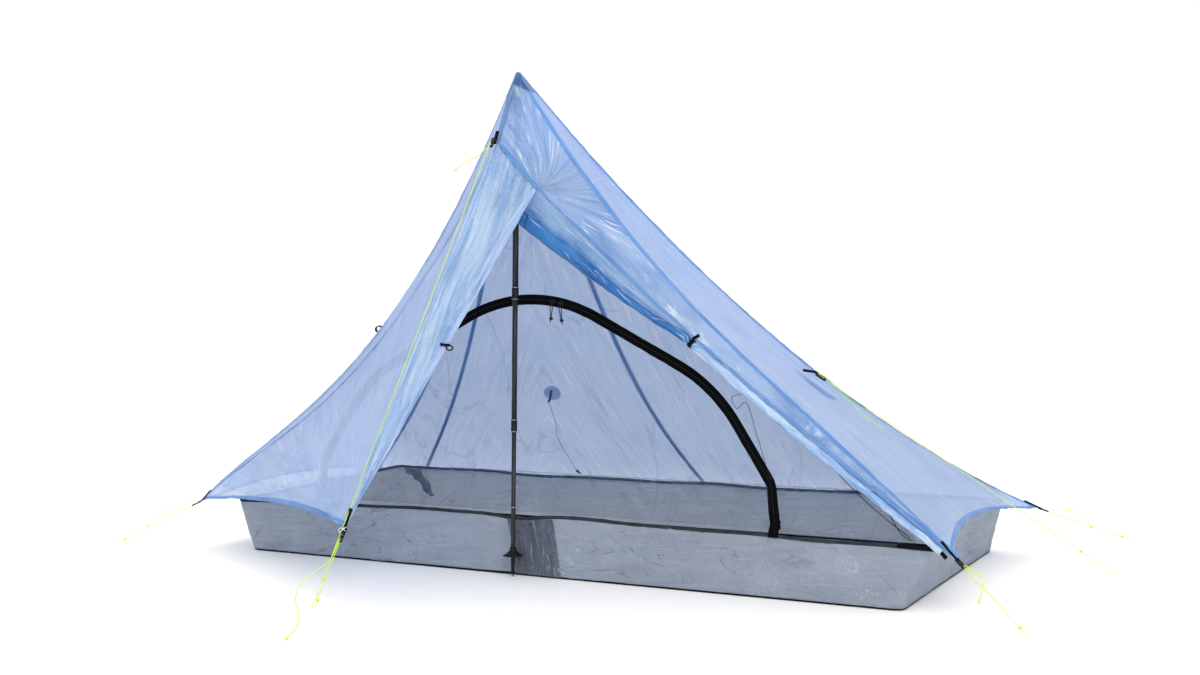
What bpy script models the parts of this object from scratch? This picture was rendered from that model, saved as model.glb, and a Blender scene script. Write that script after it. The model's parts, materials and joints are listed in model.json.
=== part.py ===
"""One-person pyramid tent held up by a single telescoping pole. Metres, +Z up.

The origin is the pole's foot on the ground. +X runs to the right along the doorway's sill,
and +Y runs to the back of the tent. The right storm door is rolled up, the left one is
closed, and the arched mesh door behind them is zipped shut.
"""
import math
from functools import partial

import bmesh
import bpy
from mathutils import Matrix, Vector

# Driving dimensions ---------------------------------------------------------

FLOOR_LEFT = -1.025
FLOOR_RIGHT = 1.175
FLOOR_FRONT = 0.020
FLOOR_BACK = 0.920
FLOOR_CORNER_RADIUS = 0.030
TUB_HEIGHT = 0.168
TUB_DIP_AT_POLE = 0.014
TUB_DENT_AT_POLE = 0.022
TUB_FLARE_LEFT = 0.060
TUB_FLARE_RIGHT = 0.087

FABRIC = 0.0008
MESH_FABRIC = 0.0010
FLOOR_FABRIC = 0.0012
GAP = 0.0005
SEAM_GAP = 0.004

PEAK = Vector((0.004, 0.085, 1.490))
BROW = Vector((-0.007, -0.015, 1.270))
LAP = Vector((0.130, -0.028, 1.133))
CORNERS = {
    "left_front": Vector((-1.230, 0.020, 0.153)),
    "right_front": Vector((1.311, 0.020, 0.153)),
    "right_back": Vector((1.302, 0.970, 0.135)),
    "left_back": Vector((-1.230, 0.970, 0.135)),
    "vestibule": Vector((-0.222, -0.494, 0.212)),
}
# How far a line sags below its straight chord, and where along it the sag is deepest.
RIDGE_SAG = {
    "left_front": (0.215, 0.40),
    "right_front": (0.117, 0.36),
    "right_back": (0.155, 0.50),
    "left_back": (0.190, 0.45),
}
LEFT_FOLD_SAG = (0.165, 0.40)
RIGHT_HEM_SAG = (0.032, 0.45)
STAKES = {
    "left_front": Vector((-1.522, -0.094, 0.004)),
    "right_front": Vector((1.526, -0.119, 0.004)),
    "right_back": Vector((1.534, 1.252, 0.004)),
    "left_back": Vector((-1.510, 1.240, 0.004)),
    "vestibule": Vector((-0.262, -0.583, 0.004)),
    "right_middle": Vector((1.590, 0.674, 0.004)),
}
# How far down a ridge the stiffened cap, the brow and the lap point reach.
CAP_REACH = 0.085
CAP_LEVELS = (0.012, 0.030, 0.055, 0.082)
CAP_THICKNESS = 0.0016
BROW_REACH = 0.170
LAP_REACH = 0.250
END_HEM_RISE, END_BOW = 0.045, 0.010
BACK_HEM_RISE, BACK_BOW = 0.008, 0.012
DOOR_HEM_RISE, DOOR_BOW = 0.030, 0.006
BACK_SEAMS = (0.0, 0.44, 0.91, 1.0)
# Places on the end panels: the share of the way down, then the share of the way across.
TIE_OUT_RIGHT = (0.610, 0.740)
TIE_OUT_LEFT = (0.426, 0.930)

# The front mesh wall leans back as the pole does, so the pole's basket passes in front of it.
WALL_FOOT = Vector((0.0, 0.044, 0.186))
WALL_LEAN = math.atan(0.0568)
MESH_TOP = 1.262
ARCH_CENTRE_X = 0.035
ARCH_HEIGHT = 0.628
ARCH_TOP_RADIUS = 0.490
ARCH_TOP_TURN = 27
# from the arch's top to its foot, each run's length and the degrees it turns through
ARCH_RUNS = (
    (ARCH_TOP_RADIUS * math.radians(ARCH_TOP_TURN), ARCH_TOP_TURN),
    (0.295, 0), (0.246, 30), (0.172, 0), (0.0227, 26), (0.1134, 0),
)
ARCH_LENGTH = sum(length for length, _ in ARCH_RUNS)
# every piece along the arch has its corners at the same places; the door stops a step short of each foot
ZIP_STEPS = 120
DOOR_SHARE = 1 - 2 / ZIP_STEPS
TAPE_WIDTH = 0.013
TAPE_GAP = 0.002
TAPE_THICKNESS = 0.0014

POLE_TOP = Vector((0.003, 0.083, 1.462))
UPPER_RADIUS = 0.0090
MIDDLE_RADIUS = 0.0078
LOWER_RADIUS = 0.0066
TUBE_WALL = 0.0008
UPPER_LOCK_HEIGHT = 0.815
LOWER_LOCK_HEIGHT = 0.425
LOWER_END_HEIGHT = 0.096
TUBE_OVERLAP = 0.100
LOCK_LENGTH = 0.036
LOCK_RADIUS = 0.0106
LOCK_CLEARANCE = 0.0003
GRIP_LOW, GRIP_HIGH = 1.335, 1.446
BASKET_LOW = 0.066
BASKET_RADIUS = 0.029
BASKET_LOBES = 0.06
TIP_RADIUS = 0.0030

ROLL_DROOP = 0.049
ROLL_TIE_AT = 0.385
STRAP_WIDTH = 0.012
TOGGLE_AT = 0.478
SLIDER_DEGREES = {"left": 9.0, "right": 12.6}
ADJUSTER_SIZE = (0.034, 0.013, 0.005)

CORD_RADIUS = 0.0012
THIN_CORD_RADIUS = 0.0008
KNOT_SWELL = 2.2

COLOURS = {
    "canopy": (0.46, 0.60, 0.88, 0.55),
    "door_roll": (0.10, 0.33, 0.72, 1.0),
    "floor": (0.30, 0.38, 0.50, 1.0),
    "mesh": (0.16, 0.19, 0.24, 0.35),
    "binding": (0.05, 0.06, 0.08, 1.0),
    "webbing": (0.01, 0.01, 0.012, 1.0),
    "plastic": (0.015, 0.015, 0.017, 1.0),
    "guyline": (0.62, 0.88, 0.10, 1.0),
    "carbon": (0.03, 0.03, 0.035, 1.0),
    "foam": (0.02, 0.02, 0.022, 1.0),
}
ROUGHNESS = {"canopy": 0.35, "carbon": 0.35, "floor": 0.5}
DEFAULT_ROUGHNESS = 0.7


# Objects and materials ------------------------------------------------------

def clear_scene():
    for old in list(bpy.data.objects):
        bpy.data.objects.remove(old)


def material(name):
    found = bpy.data.materials.get(name)
    if found:
        return found
    made = bpy.data.materials.new(name)
    made.use_nodes = True
    shader = made.node_tree.nodes["Principled BSDF"]
    shader.inputs["Base Color"].default_value = COLOURS[name]
    shader.inputs["Alpha"].default_value = COLOURS[name][3]
    shader.inputs["Roughness"].default_value = ROUGHNESS.get(name, DEFAULT_ROUGHNESS)
    made.diffuse_color = COLOURS[name]
    return made


def new_object(name, finish, points, faces, parent=None):
    mesh = bpy.data.meshes.new(name)
    mesh.from_pydata([tuple(p) for p in points], [], faces)
    work = bmesh.new()
    work.from_mesh(mesh)
    bmesh.ops.recalc_face_normals(work, faces=work.faces)
    work.to_mesh(mesh)
    work.free()
    mesh.materials.append(material(finish))
    made = bpy.data.objects.new(name, mesh)
    bpy.context.scene.collection.objects.link(made)
    if parent:
        hang(made, parent)
    return made


def hang(child, parent):
    """Parents child without moving it: a moving piece hangs on its joint's empty."""
    bpy.context.view_layer.update()
    child.parent = parent
    child.matrix_parent_inverse = parent.matrix_world.inverted()


def joint_empty(name, place, turn=None, parent=None):
    empty = bpy.data.objects.new(name, None)
    empty.empty_display_size = 0.05
    bpy.context.scene.collection.objects.link(empty)
    empty.matrix_world = Matrix.Translation(place) @ (turn or Matrix.Identity(4))
    if parent:
        hang(empty, parent)
    bpy.context.view_layer.update()
    return empty


# Solid builders -------------------------------------------------------------

def sheet(name, finish, surface, across, along, thickness, parent=None):
    """A thin closed solid over surface(u, v), with u and v from 0 to 1."""
    places = [(i / across, j / along) for i in range(across + 1) for j in range(along + 1)]
    row = along + 1
    count = len(places)
    offsets = [surface_normal(surface, *place) * thickness / 2 for place in places]
    outer = [surface(*place) + offset for place, offset in zip(places, offsets)]
    inner = [surface(*place) - offset for place, offset in zip(places, offsets)]
    faces = []
    for i in range(across):
        for j in range(along):
            a, b, c, d = i * row + j, (i + 1) * row + j, (i + 1) * row + j + 1, i * row + j + 1
            # both layers split along the same diagonal, so that they can't cross where the sheet twists
            for corners in ((a, b, c), (a, c, d)):
                faces.append(corners)
                faces.append(tuple(corner + count for corner in reversed(corners)))
    rim = list(range(row))
    rim += [i * row + along for i in range(1, across + 1)]
    rim += [across * row + j for j in range(along - 1, -1, -1)]
    rim += [i * row for i in range(across - 1, 0, -1)]
    for a, b in zip(rim, rim[1:] + rim[:1]):
        faces.append((a, b, b + count, a + count))
    return new_object(name, finish, outer + inner, faces, parent)


def surface_normal(surface, u, v, step=0.01):
    low_u, high_u = max(0.0, u - step), min(1.0, u + step)
    low_v, high_v = max(0.0, v - step), min(1.0, v + step)
    along_u = surface(high_u, v) - surface(low_u, v)
    along_v = surface(u, high_v) - surface(u, low_v)
    return along_u.cross(along_v).normalized()


def loft(name, finish, rings, parent=None):
    """A closed solid through rings that have the same number of points."""
    size = len(rings[0])
    points = [p for ring in rings for p in ring]
    faces = [tuple(range(size)), tuple(reversed(range(len(points) - size, len(points))))]
    for level in range(len(rings) - 1):
        for k in range(size):
            a, b = level * size + k, level * size + (k + 1) % size
            faces.append((a, b, b + size, a + size))
    return new_object(name, finish, points, faces, parent)


def circle(radius, sides, height=0.0, lobes=0.0):
    """Points round +Z; lobes is how far five soft lobes stand out, as a share of the radius."""
    points = []
    for k in range(sides):
        angle = 2 * math.pi * k / sides
        reach = radius * (1 + lobes * math.cos(5 * angle))
        points.append(Vector((reach * math.cos(angle), reach * math.sin(angle), height)))
    return points


def turned(name, finish, profile, parent=None, sides=16, hollow=False, lobes=0.0):
    """Turns (radius, height) points round the pole's axis; hollow closes the profile on itself."""
    widest = max(radius for radius, _ in profile)
    points = []
    for radius, height in profile:
        points += circle(radius, sides, height, lobes if radius == widest else 0.0)
    faces = []
    levels = len(profile)
    for level in range(levels if hollow else levels - 1):
        for k in range(sides):
            a, b = level * sides + k, level * sides + (k + 1) % sides
            c, d = (b + sides) % len(points), (a + sides) % len(points)
            faces.append((a, b, c, d))
    if not hollow:
        faces.append(tuple(reversed(range(sides))))
        faces.append(tuple(range(len(points) - sides, len(points))))
    turned_points = [POLE_FRAME @ p for p in points]
    return new_object(name, finish, turned_points, faces, parent)


def cord(name, finish, path, radius, parent=None, knots=(), sides=6):
    """A round cord along path, thicker at the points whose numbers are in knots."""
    rings = []
    forward = (path[1] - path[0]).normalized()
    across = forward.orthogonal().normalized()
    for index, place in enumerate(path):
        before = (place - path[max(index - 1, 0)]).normalized()
        after = (path[min(index + 1, len(path) - 1)] - place).normalized()
        turned_to = (before + after).normalized()
        across = (forward.rotation_difference(turned_to) @ across).normalized()
        forward = turned_to
        up = forward.cross(across)
        reach = radius * (KNOT_SWELL if index in knots else 1.0)
        rings.append([place + across * p.x + up * p.y for p in circle(reach, sides)])
    return loft(name, finish, rings, parent)


def block(name, finish, centre, size, along, parent=None, up=Vector((0, 0, 1)), bevel=0.0015):
    """A bevelled block whose length points along a direction."""
    forward = Vector(along).normalized()
    side = forward.cross(up).normalized()
    top = side.cross(forward)
    turn = Matrix((forward, side, top)).transposed().to_4x4()
    work = bmesh.new()
    bmesh.ops.create_cube(work, size=1.0, matrix=Matrix.Diagonal((*size, 1.0)))
    bmesh.ops.bevel(work, geom=work.edges, offset=bevel, segments=1, affect="EDGES")
    bmesh.ops.transform(work, matrix=Matrix.Translation(centre) @ turn, verts=work.verts)
    points = [v.co.copy() for v in work.verts]
    faces = [tuple(v.index for v in f.verts) for f in work.faces]
    work.free()
    return new_object(name, finish, points, faces, parent)


# Lines of the canopy --------------------------------------------------------

def sag(t, depth, deepest):
    """A cable-like droop that is 0 at both ends and depth at t = deepest."""
    rise = t / deepest
    fall = max(0.0, (1 - t) / (1 - deepest)) ** ((1 - deepest) / deepest)
    return depth * rise * fall


def sagging_line(start, end, droop, t):
    point = start.lerp(end, t)
    point.z -= sag(t, *droop)
    return point


def ridge(corner, t):
    return sagging_line(PEAK, CORNERS[corner], RIDGE_SAG[corner], t)


def left_fold(t):
    """The line where the left storm door is joined to the fixed canopy, from brow to corner."""
    return sagging_line(BROW, CORNERS["left_front"], LEFT_FOLD_SAG, t)


def right_hem(t):
    """The beak's lower edge, from the lap point to the right front corner."""
    return sagging_line(LAP, CORNERS["right_front"], RIGHT_HEM_SAG, t)


def left_beak_edge(t):
    """The lower edge of the fixed fabric on the left: peak, brow, then the fold line."""
    if t < BROW_REACH:
        return PEAK.lerp(BROW, t / BROW_REACH)
    return left_fold((t - BROW_REACH) / (1 - BROW_REACH))


def right_beak_edge(t):
    """The lower edge of the fixed fabric on the right: peak, brow, lap point, then the hem."""
    if t < BROW_REACH:
        return PEAK.lerp(BROW, t / BROW_REACH)
    if t < LAP_REACH:
        return BROW.lerp(LAP, (t - BROW_REACH) / (LAP_REACH - BROW_REACH))
    return right_hem((t - LAP_REACH) / (1 - LAP_REACH))


def front_crease(t):
    return BROW.lerp(CORNERS["vestibule"], t)


def door_edge(t):
    return LAP.lerp(CORNERS["vestibule"], t)


def canopy_panel(first, second, hem_rise, bow, top=CAP_REACH, low=0.0, high=1.0):
    """A canopy face ruled between two lines, with an arched hem and an inward bow.

    low and high cut the face to part of its width, between two seams.
    """
    def surface(u, v):
        across = low + (high - low) * v
        first_end, second_end = first(1.0), second(1.0)
        width = max(0.001, (second_end - first_end).length)
        edge = SEAM_GAP / width
        across = edge + (1 - 2 * edge) * across
        if low > 0 or high < 1:
            across += (0.5 - v) * edge
        arch = 4 * across * (1 - across)
        depth = top + (1 - top) * u * (1 - hem_rise * arch)
        point = first(depth).lerp(second(depth), across)
        inward = (Vector((0.0, 0.4, 0.2)) - point)
        point += inward.normalized() * bow * arch * math.sin(math.pi * min(1.0, depth))
        return point
    return surface


def right_end_panel():
    return canopy_panel(partial(ridge, "right_front"), partial(ridge, "right_back"), END_HEM_RISE, END_BOW)


def left_end_panel():
    return canopy_panel(partial(ridge, "left_back"), partial(ridge, "left_front"), END_HEM_RISE, END_BOW)


def back_panel(low=0.0, high=1.0):
    right, left = partial(ridge, "right_back"), partial(ridge, "left_back")
    return canopy_panel(right, left, BACK_HEM_RISE, BACK_BOW, low=low, high=high)


def strip(first, second, start=CAP_REACH, end=0.985):
    """A narrow strip between two lines that run side by side."""
    def surface(u, v):
        t = start + (end - start) * u
        near, far = first(t), second(t)
        edge = SEAM_GAP / max(0.02, (far - near).length)
        return near.lerp(far, edge + (1 - 2 * edge) * v)
    return surface


# Canopy ---------------------------------------------------------------------

def make_peak_cap():
    """The stiffened tip of the canopy, an open five-sided cone over the pole's grip."""
    corners = ("right_front", "right_back", "left_back", "left_front")
    lines = [partial(ridge, corner) for corner in corners] + [left_beak_edge]
    outer, inner = [], []
    for level in CAP_LEVELS:
        ring = [line(level) for line in lines]
        middle = sum(ring, Vector()) / len(ring)
        outer += ring
        inner += [p + (middle - p).normalized() * CAP_THICKNESS for p in ring]
    size = len(lines)
    count = len(outer)
    top_outer, top_inner = count * 2, count * 2 + 1
    points = outer + inner + [PEAK.copy(), PEAK - Vector((0, 0, 4 * CAP_THICKNESS))]
    faces = []
    for level in range(len(CAP_LEVELS) - 1):
        for k in range(size):
            a, b = level * size + k, level * size + (k + 1) % size
            faces.append((a, b, b + size, a + size))
            faces.append((a + size + count, b + size + count, b + count, a + count))
    last = (len(CAP_LEVELS) - 1) * size
    for k in range(size):
        a, b = k, (k + 1) % size
        faces.append((b, a, top_outer))
        faces.append((a + count, b + count, top_inner))
        faces.append((last + a, last + b, last + b + count, last + a + count))
    return new_object("peak_cap", "canopy", points, faces)


def make_canopy():
    sheet("canopy_right_end", "canopy", right_end_panel(), 12, 8, FABRIC)
    sheet("canopy_left_end", "canopy", left_end_panel(), 12, 8, FABRIC)
    names = ("canopy_back_right", "canopy_back_middle", "canopy_back_left")
    for name, low, high in zip(names, BACK_SEAMS, BACK_SEAMS[1:]):
        sheet(name, "canopy", back_panel(low, high), 12, 6, FABRIC)
    sheet("beak_right", "canopy", strip(partial(ridge, "right_front"), right_beak_edge), 22, 3, FABRIC)
    sheet("beak_left", "canopy", strip(left_beak_edge, partial(ridge, "left_front")), 22, 3, FABRIC)


def make_left_storm_door(door):
    """The closed door: its main panel, and the flap that laps to the right of the front crease."""
    panel = canopy_panel(left_fold, front_crease, DOOR_HEM_RISE, DOOR_BOW, top=0.034, low=0.016, high=0.988)
    sheet("storm_door_panel", "canopy", panel, 14, 8, FABRIC, door)
    sheet("storm_door_flap", "canopy", flap_surface, 10, 3, FABRIC, door)


def flap_surface(u, v):
    """The triangle from the crease to the door's free edge, gathered at the vestibule corner."""
    t = 0.03 + 0.94 * u
    near, far = front_crease(t), door_edge(t)
    edge = SEAM_GAP / max(0.012, (far - near).length)
    edge = min(edge, 0.3)
    point = near.lerp(far, edge + (1 - 1.3 * edge) * v)
    point.y += 0.006 * math.sin(math.pi * v)
    return point


def roll_section(t):
    """Centre, downward direction, side direction, half height and half depth of the door roll at t."""
    direction = (right_hem(min(1.0, t + 0.01)) - right_hem(max(0.0, t - 0.01))).normalized()
    down = Vector((0, 1, 0)).cross(direction).normalized()
    if down.z > 0:
        down.negate()
    loose = max(0.0, 1 - t / ROLL_TIE_AT)
    down = (down + Vector((0, 0, -1.5 * loose))).normalized()
    side = direction.cross(down).normalized()
    height = 0.0095 + ROLL_DROOP * loose + 0.006 * (1 - t)
    depth = 0.011 + 0.008 * loose
    centre = right_hem(t) + down * (height + 0.004) + Vector((0, 0.004 + 0.020 * loose, 0))
    return centre, down, side, height, depth


def make_door_roll():
    """The right storm door, rolled up under the beak's hem: loose at the lap, tight at the corner."""
    sides, levels = 10, 24
    rings = []
    for level in range(levels + 1):
        centre, down, side, height, depth = roll_section(0.004 + 0.974 * level / levels)
        rings.append([centre + down * height * p.x + side * depth * p.y for p in circle(1.0, sides)])
    loft("storm_door_roll", "door_roll", rings)


# Bathtub floor --------------------------------------------------------------

def floor_outline(inset=0.0):
    """The floor's rounded outline, anticlockwise from its front left corner."""
    radius = FLOOR_CORNER_RADIUS
    left, right = FLOOR_LEFT + inset, FLOOR_RIGHT - inset
    front, back = FLOOR_FRONT + inset, FLOOR_BACK - inset
    turns = [((left + radius, front + radius), 180), ((right - radius, front + radius), 270),
             ((right - radius, back - radius), 0), ((left + radius, back - radius), 90)]
    outline = []
    for (x, y), start in turns:
        for k in range(5):
            angle = math.radians(start + 90 * k / 4)
            outline.append(Vector((x + radius * math.cos(angle), y + radius * math.sin(angle), 0)))
    return outline


def make_floor():
    outline = floor_outline(0.003)
    loft("floor_sheet", "floor", [outline, [p + Vector((0, 0, FLOOR_FABRIC)) for p in outline]])


def tub_top(corner):
    flare = {"left_front": (-TUB_FLARE_LEFT, 0.003), "right_front": (TUB_FLARE_RIGHT, 0.003),
             "right_back": (0.050, -0.020), "left_back": (-0.045, -0.020)}[corner]
    return tub_foot(corner) + Vector((*flare, TUB_HEIGHT))


def tub_foot(corner):
    x = FLOOR_LEFT if "left" in corner else FLOOR_RIGHT
    y = FLOOR_FRONT if "front" in corner else FLOOR_BACK
    return Vector((x, y, 0.0))


def tub_edge(side, t):
    """The top edge of one wall. The front one dips behind the pole; the ends lean out only at corners."""
    start, end = WALLS[side]
    edge = tub_top(start).lerp(tub_top(end), t)
    arch = math.sin(math.pi * t)
    if side == "front":
        edge.z += 0.014 * arch - TUB_DIP_AT_POLE * near_pole(edge.x)
    else:
        edge.z -= 0.004 * arch
    if side == "right":
        edge.x -= 0.055 * arch
    return edge


def near_pole(x):
    return math.exp(-(x / 0.08) ** 2)


WALLS = {
    "front": ("left_front", "right_front"),
    "right": ("right_front", "right_back"),
    "back": ("right_back", "left_back"),
    "left": ("left_back", "left_front"),
}


def wall_surface(side, low, high, margin):
    """The tub wall of one side, from the share low of its height to the share high."""
    start, end = WALLS[side]

    def surface(u, v):
        t = margin + (1 - 2 * margin) * u
        height = low + (high - low) * v
        point = tub_foot(start).lerp(tub_foot(end), t).lerp(tub_edge(side, t), height)
        if side == "front":
            point.y += TUB_DENT_AT_POLE * near_pole(point.x) * math.sin(0.5 * math.pi * math.sqrt(height))
        return point
    return surface


def make_tub():
    for side in WALLS:
        margin, columns = (0.014, 44) if side in ("front", "back") else (0.034, 12)
        wall = wall_surface(side, 0.0, 0.952, margin)
        sheet("tub_wall_" + side, "floor", level_foot(wall), columns, 3, FLOOR_FABRIC)
        binding = wall_surface(side, 0.962, 1.0, margin)
        sheet("tub_binding_" + side, "binding", binding, columns, 1, 0.0024)


def level_foot(surface):
    """Keeps the bottom edge of a leaning wall on the ground plane."""
    def lifted(u, v):
        point = surface(u, v)
        point.z = max(point.z, 0.0002)
        return point
    return lifted


# Front mesh wall, its arched door and the zip --------------------------------

def on_wall(x, height, out=0.0):
    """The point of the leaning mesh wall at x and at a height above its foot."""
    z = WALL_FOOT.z + height * math.cos(WALL_LEAN)
    y = WALL_FOOT.y + height * math.sin(WALL_LEAN)
    return Vector((x, y - out, z))


def arch_point(share, offset=0.0):
    """A point of the arch, offset outwards; share is 0 at its top and 1 or -1 at its feet."""
    side = 1 if share >= 0 else -1
    left = abs(share) * ARCH_LENGTH
    x, height, slope = 0.0, ARCH_HEIGHT, 0.0
    for length, turn in ARCH_RUNS:
        part = min(length, left)
        left -= part
        if turn:
            radius = length / math.radians(turn)
            bent = slope + part / radius
            x += radius * (math.sin(bent) - math.sin(slope))
            height -= radius * (math.cos(slope) - math.cos(bent))
            slope = bent
        else:
            x += part * math.cos(slope)
            height -= part * math.sin(slope)
        if left <= 0:
            break
    return ARCH_CENTRE_X + side * (x + offset * math.sin(slope)), height + offset * math.cos(slope)


def arch_surface(inner, outer, out=0.0, reach=1.0):
    def surface(u, v):
        x, height = arch_point(reach * (2 * u - 1), inner + (outer - inner) * v)
        return on_wall(x, max(height, 0.0), out)
    return surface


def wall_top_height(x):
    """The height on the wall of the canopy's front ridges above x."""
    corner = "right_front" if x > PEAK.x else "left_front"
    t = abs(x - PEAK.x) / abs(CORNERS[corner].x - PEAK.x)
    below = 0.020 + 0.045 * max(0.0, 1 - t / 0.12)
    top = min(ridge(corner, t).z - below, MESH_TOP)
    return (top - WALL_FOOT.z) / math.cos(WALL_LEAN)


def mesh_wall_surface(side):
    """The mesh between the arch and the canopy's front ridge, on one side of the arch's top."""
    outer_x = 1.205 if side > 0 else -1.070

    def surface(u, v):
        x, height = arch_point(side * u, TAPE_GAP / 2 + TAPE_WIDTH + GAP)
        near = on_wall(x, max(height, 0.0))
        spread = u ** 1.6
        far_x = ARCH_CENTRE_X + side * GAP + (outer_x - ARCH_CENTRE_X) * spread
        far_height = max(wall_top_height(far_x), 0.0) if u < 1 else 0.0
        far = on_wall(far_x, far_height)
        if u == 0:
            near.x = far.x
        return near.lerp(far, v)
    return surface


def make_mesh_front():
    sheet("mesh_front_right", "mesh", mesh_wall_surface(1), ZIP_STEPS // 2, 3, MESH_FABRIC)
    sheet("mesh_front_left", "mesh", mesh_wall_surface(-1), ZIP_STEPS // 2, 3, MESH_FABRIC)
    inner, outer = TAPE_GAP / 2, TAPE_GAP / 2 + TAPE_WIDTH
    sheet("zip_tape_frame", "webbing", arch_surface(inner, outer), ZIP_STEPS, 1, TAPE_THICKNESS)


def make_mesh_door(door):
    """The arched mesh panel inside the zip, which drops inwards about its bottom edge."""
    inset = -(TAPE_GAP / 2 + TAPE_WIDTH + GAP)
    count = ZIP_STEPS - 2
    outline = []
    for k in range(count + 1):
        x, height = arch_point(DOOR_SHARE * (2 * k / count - 1), inset)
        outline.append((x, max(height, 0.004)))
    lean = Vector((0.0, math.cos(WALL_LEAN), -math.sin(WALL_LEAN))) * MESH_FABRIC / 2
    front = [on_wall(x, h) - lean for x, h in outline]
    back = [on_wall(x, h) + lean for x, h in outline]
    loft("mesh_door", "mesh", [front, back], door)
    tape = arch_surface(-(TAPE_GAP / 2 + TAPE_WIDTH), -TAPE_GAP / 2, reach=DOOR_SHARE)
    sheet("zip_tape_door", "webbing", tape, count, 1, TAPE_THICKNESS, door)


def make_zip_slider(side):
    """A slider with its cord pull. Its joint turns about the centre of the arch's top arc."""
    centre = on_wall(ARCH_CENTRE_X, ARCH_HEIGHT - ARCH_TOP_RADIUS)
    track = joint_empty("zip_axis_" + side, centre)
    angle = math.radians(SLIDER_DEGREES[side])
    x, height = arch_point(ARCH_TOP_RADIUS * angle / ARCH_LENGTH)
    place = on_wall(x, height, out=0.0052)
    tangent = Vector((math.cos(angle), 0.0, -math.sin(angle)))
    block("zip_slider_" + side, "plastic", place, (0.016, 0.006, 0.010), tangent, track)
    swing = joint_empty("zip_pull_axis_" + side, place + Vector((0, -0.0052, 0)), parent=track)
    top = place + Vector((0.0, -0.0056, 0.002))
    lean = 0.002 if side == "right" else -0.002
    path = [top, top + Vector((lean * 0.3, -0.0012, -0.018)), top + Vector((lean, 0.001, -0.042)),
            top + Vector((lean * 1.4, 0.0, -0.060))]
    cord("zip_pull_" + side, "webbing", path, 0.0011, swing, knots=(3,))


# Inner mesh skirts ----------------------------------------------------------

def skirt_surface(side):
    """The mesh strip from the top of the tub out towards the canopy's hem."""
    reach = {"left": Vector((-0.030, 0.0, 0.010)), "right": Vector((0.006, 0.0, 0.020)),
             "back": Vector((0.0, 0.010, 0.004))}[side]

    def surface(u, v):
        t = 0.15 + 0.70 * u
        return tub_edge(side, t) + Vector((0, 0, 0.003)) + reach * v
    return surface


def make_skirts():
    for side in ("left", "right", "back"):
        sheet("mesh_skirt_" + side, "mesh", skirt_surface(side), 8, 1, MESH_FABRIC)


# Pole -----------------------------------------------------------------------

POLE_AXIS = POLE_TOP.normalized()
POLE_FRAME = Vector((0, 0, 1)).rotation_difference(POLE_AXIS).to_matrix().to_4x4()


def tube_profile(radius, low, high, bore, bore_depth):
    """A tube that is open at its lower end and closed at its top."""
    return [(0.0002, low + bore_depth), (bore, low + bore_depth), (bore, low), (radius, low),
            (radius, high), (0.0002, high)]


def make_pole():
    middle = joint_empty("pole_middle_axis", POLE_AXIS * UPPER_LOCK_HEIGHT, POLE_FRAME)
    lower = joint_empty("pole_lower_axis", POLE_AXIS * LOWER_LOCK_HEIGHT, POLE_FRAME, middle)
    upper = tube_profile(UPPER_RADIUS, UPPER_LOCK_HEIGHT, GRIP_LOW - GAP, UPPER_RADIUS - TUBE_WALL, 0.46)
    turned("pole_upper_tube", "carbon", upper)
    middle_top = UPPER_LOCK_HEIGHT + TUBE_OVERLAP
    inner = tube_profile(MIDDLE_RADIUS, LOWER_LOCK_HEIGHT, middle_top, MIDDLE_RADIUS - TUBE_WALL, 0.42)
    turned("pole_middle_tube", "carbon", inner, middle)
    rod = [(LOWER_RADIUS, LOWER_END_HEIGHT), (LOWER_RADIUS, LOWER_LOCK_HEIGHT + TUBE_OVERLAP)]
    turned("pole_lower_tube", "carbon", rod, lower)
    grip = [(0.0120, GRIP_LOW), (0.0140, GRIP_LOW + 0.02), (0.0125, GRIP_LOW + 0.06),
            (0.0135, GRIP_HIGH - 0.018), (0.0100, GRIP_HIGH - 0.004), (0.0050, GRIP_HIGH)]
    turned("pole_grip", "foam", grip, sides=12)
    make_pole_lock("pole_lock_upper", UPPER_LOCK_HEIGHT, UPPER_RADIUS)
    make_pole_lock("pole_lock_lower", LOWER_LOCK_HEIGHT, MIDDLE_RADIUS, middle)
    make_pole_tip(lower)
    make_pole_basket(lower)


def make_pole_lock(name, height, tube_radius, parent=None):
    """The twist collar on a tube's lower end, waisted between two rims."""
    bore = tube_radius + LOCK_CLEARANCE
    rim = tube_radius + LOCK_RADIUS - UPPER_RADIUS
    waist = rim - 0.0008
    low = height + 0.001
    high = low + LOCK_LENGTH
    profile = [(rim, low), (rim, low + 0.003), (waist, low + 0.004), (waist, high - 0.004),
               (rim, high - 0.003), (rim, high), (bore, high), (bore, low)]
    turned(name, "plastic", profile, parent, hollow=True)


def make_pole_tip(lower):
    """The tapered tip, cut level with the ground at its foot."""
    levels = [(0.0, TIP_RADIUS), (0.012, 0.0034), (0.016, 0.0050), (0.058, 0.0062),
              (LOWER_END_HEIGHT - GAP, 0.0068)]
    rings = [[POLE_AXIS * height + p for p in circle(radius, 12)] for height, radius in levels]
    loft("pole_tip", "plastic", rings, lower)


def make_pole_basket(lower):
    """The small trekking basket: a lobed disc that droops at its rim, on a collar round the tip."""
    low = BASKET_LOW
    profile = [(0.0072, low + 0.006), (0.012, low + 0.003), (BASKET_RADIUS, low - 0.006),
               (BASKET_RADIUS, low - 0.003), (0.014, low + 0.007), (0.0095, low + 0.012),
               (0.0095, low + 0.020), (0.0075, low + 0.020)]
    turned("pole_basket", "plastic", profile, lower, sides=20, hollow=True, lobes=BASKET_LOBES)


# Guylines, adjusters and small fittings --------------------------------------

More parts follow.
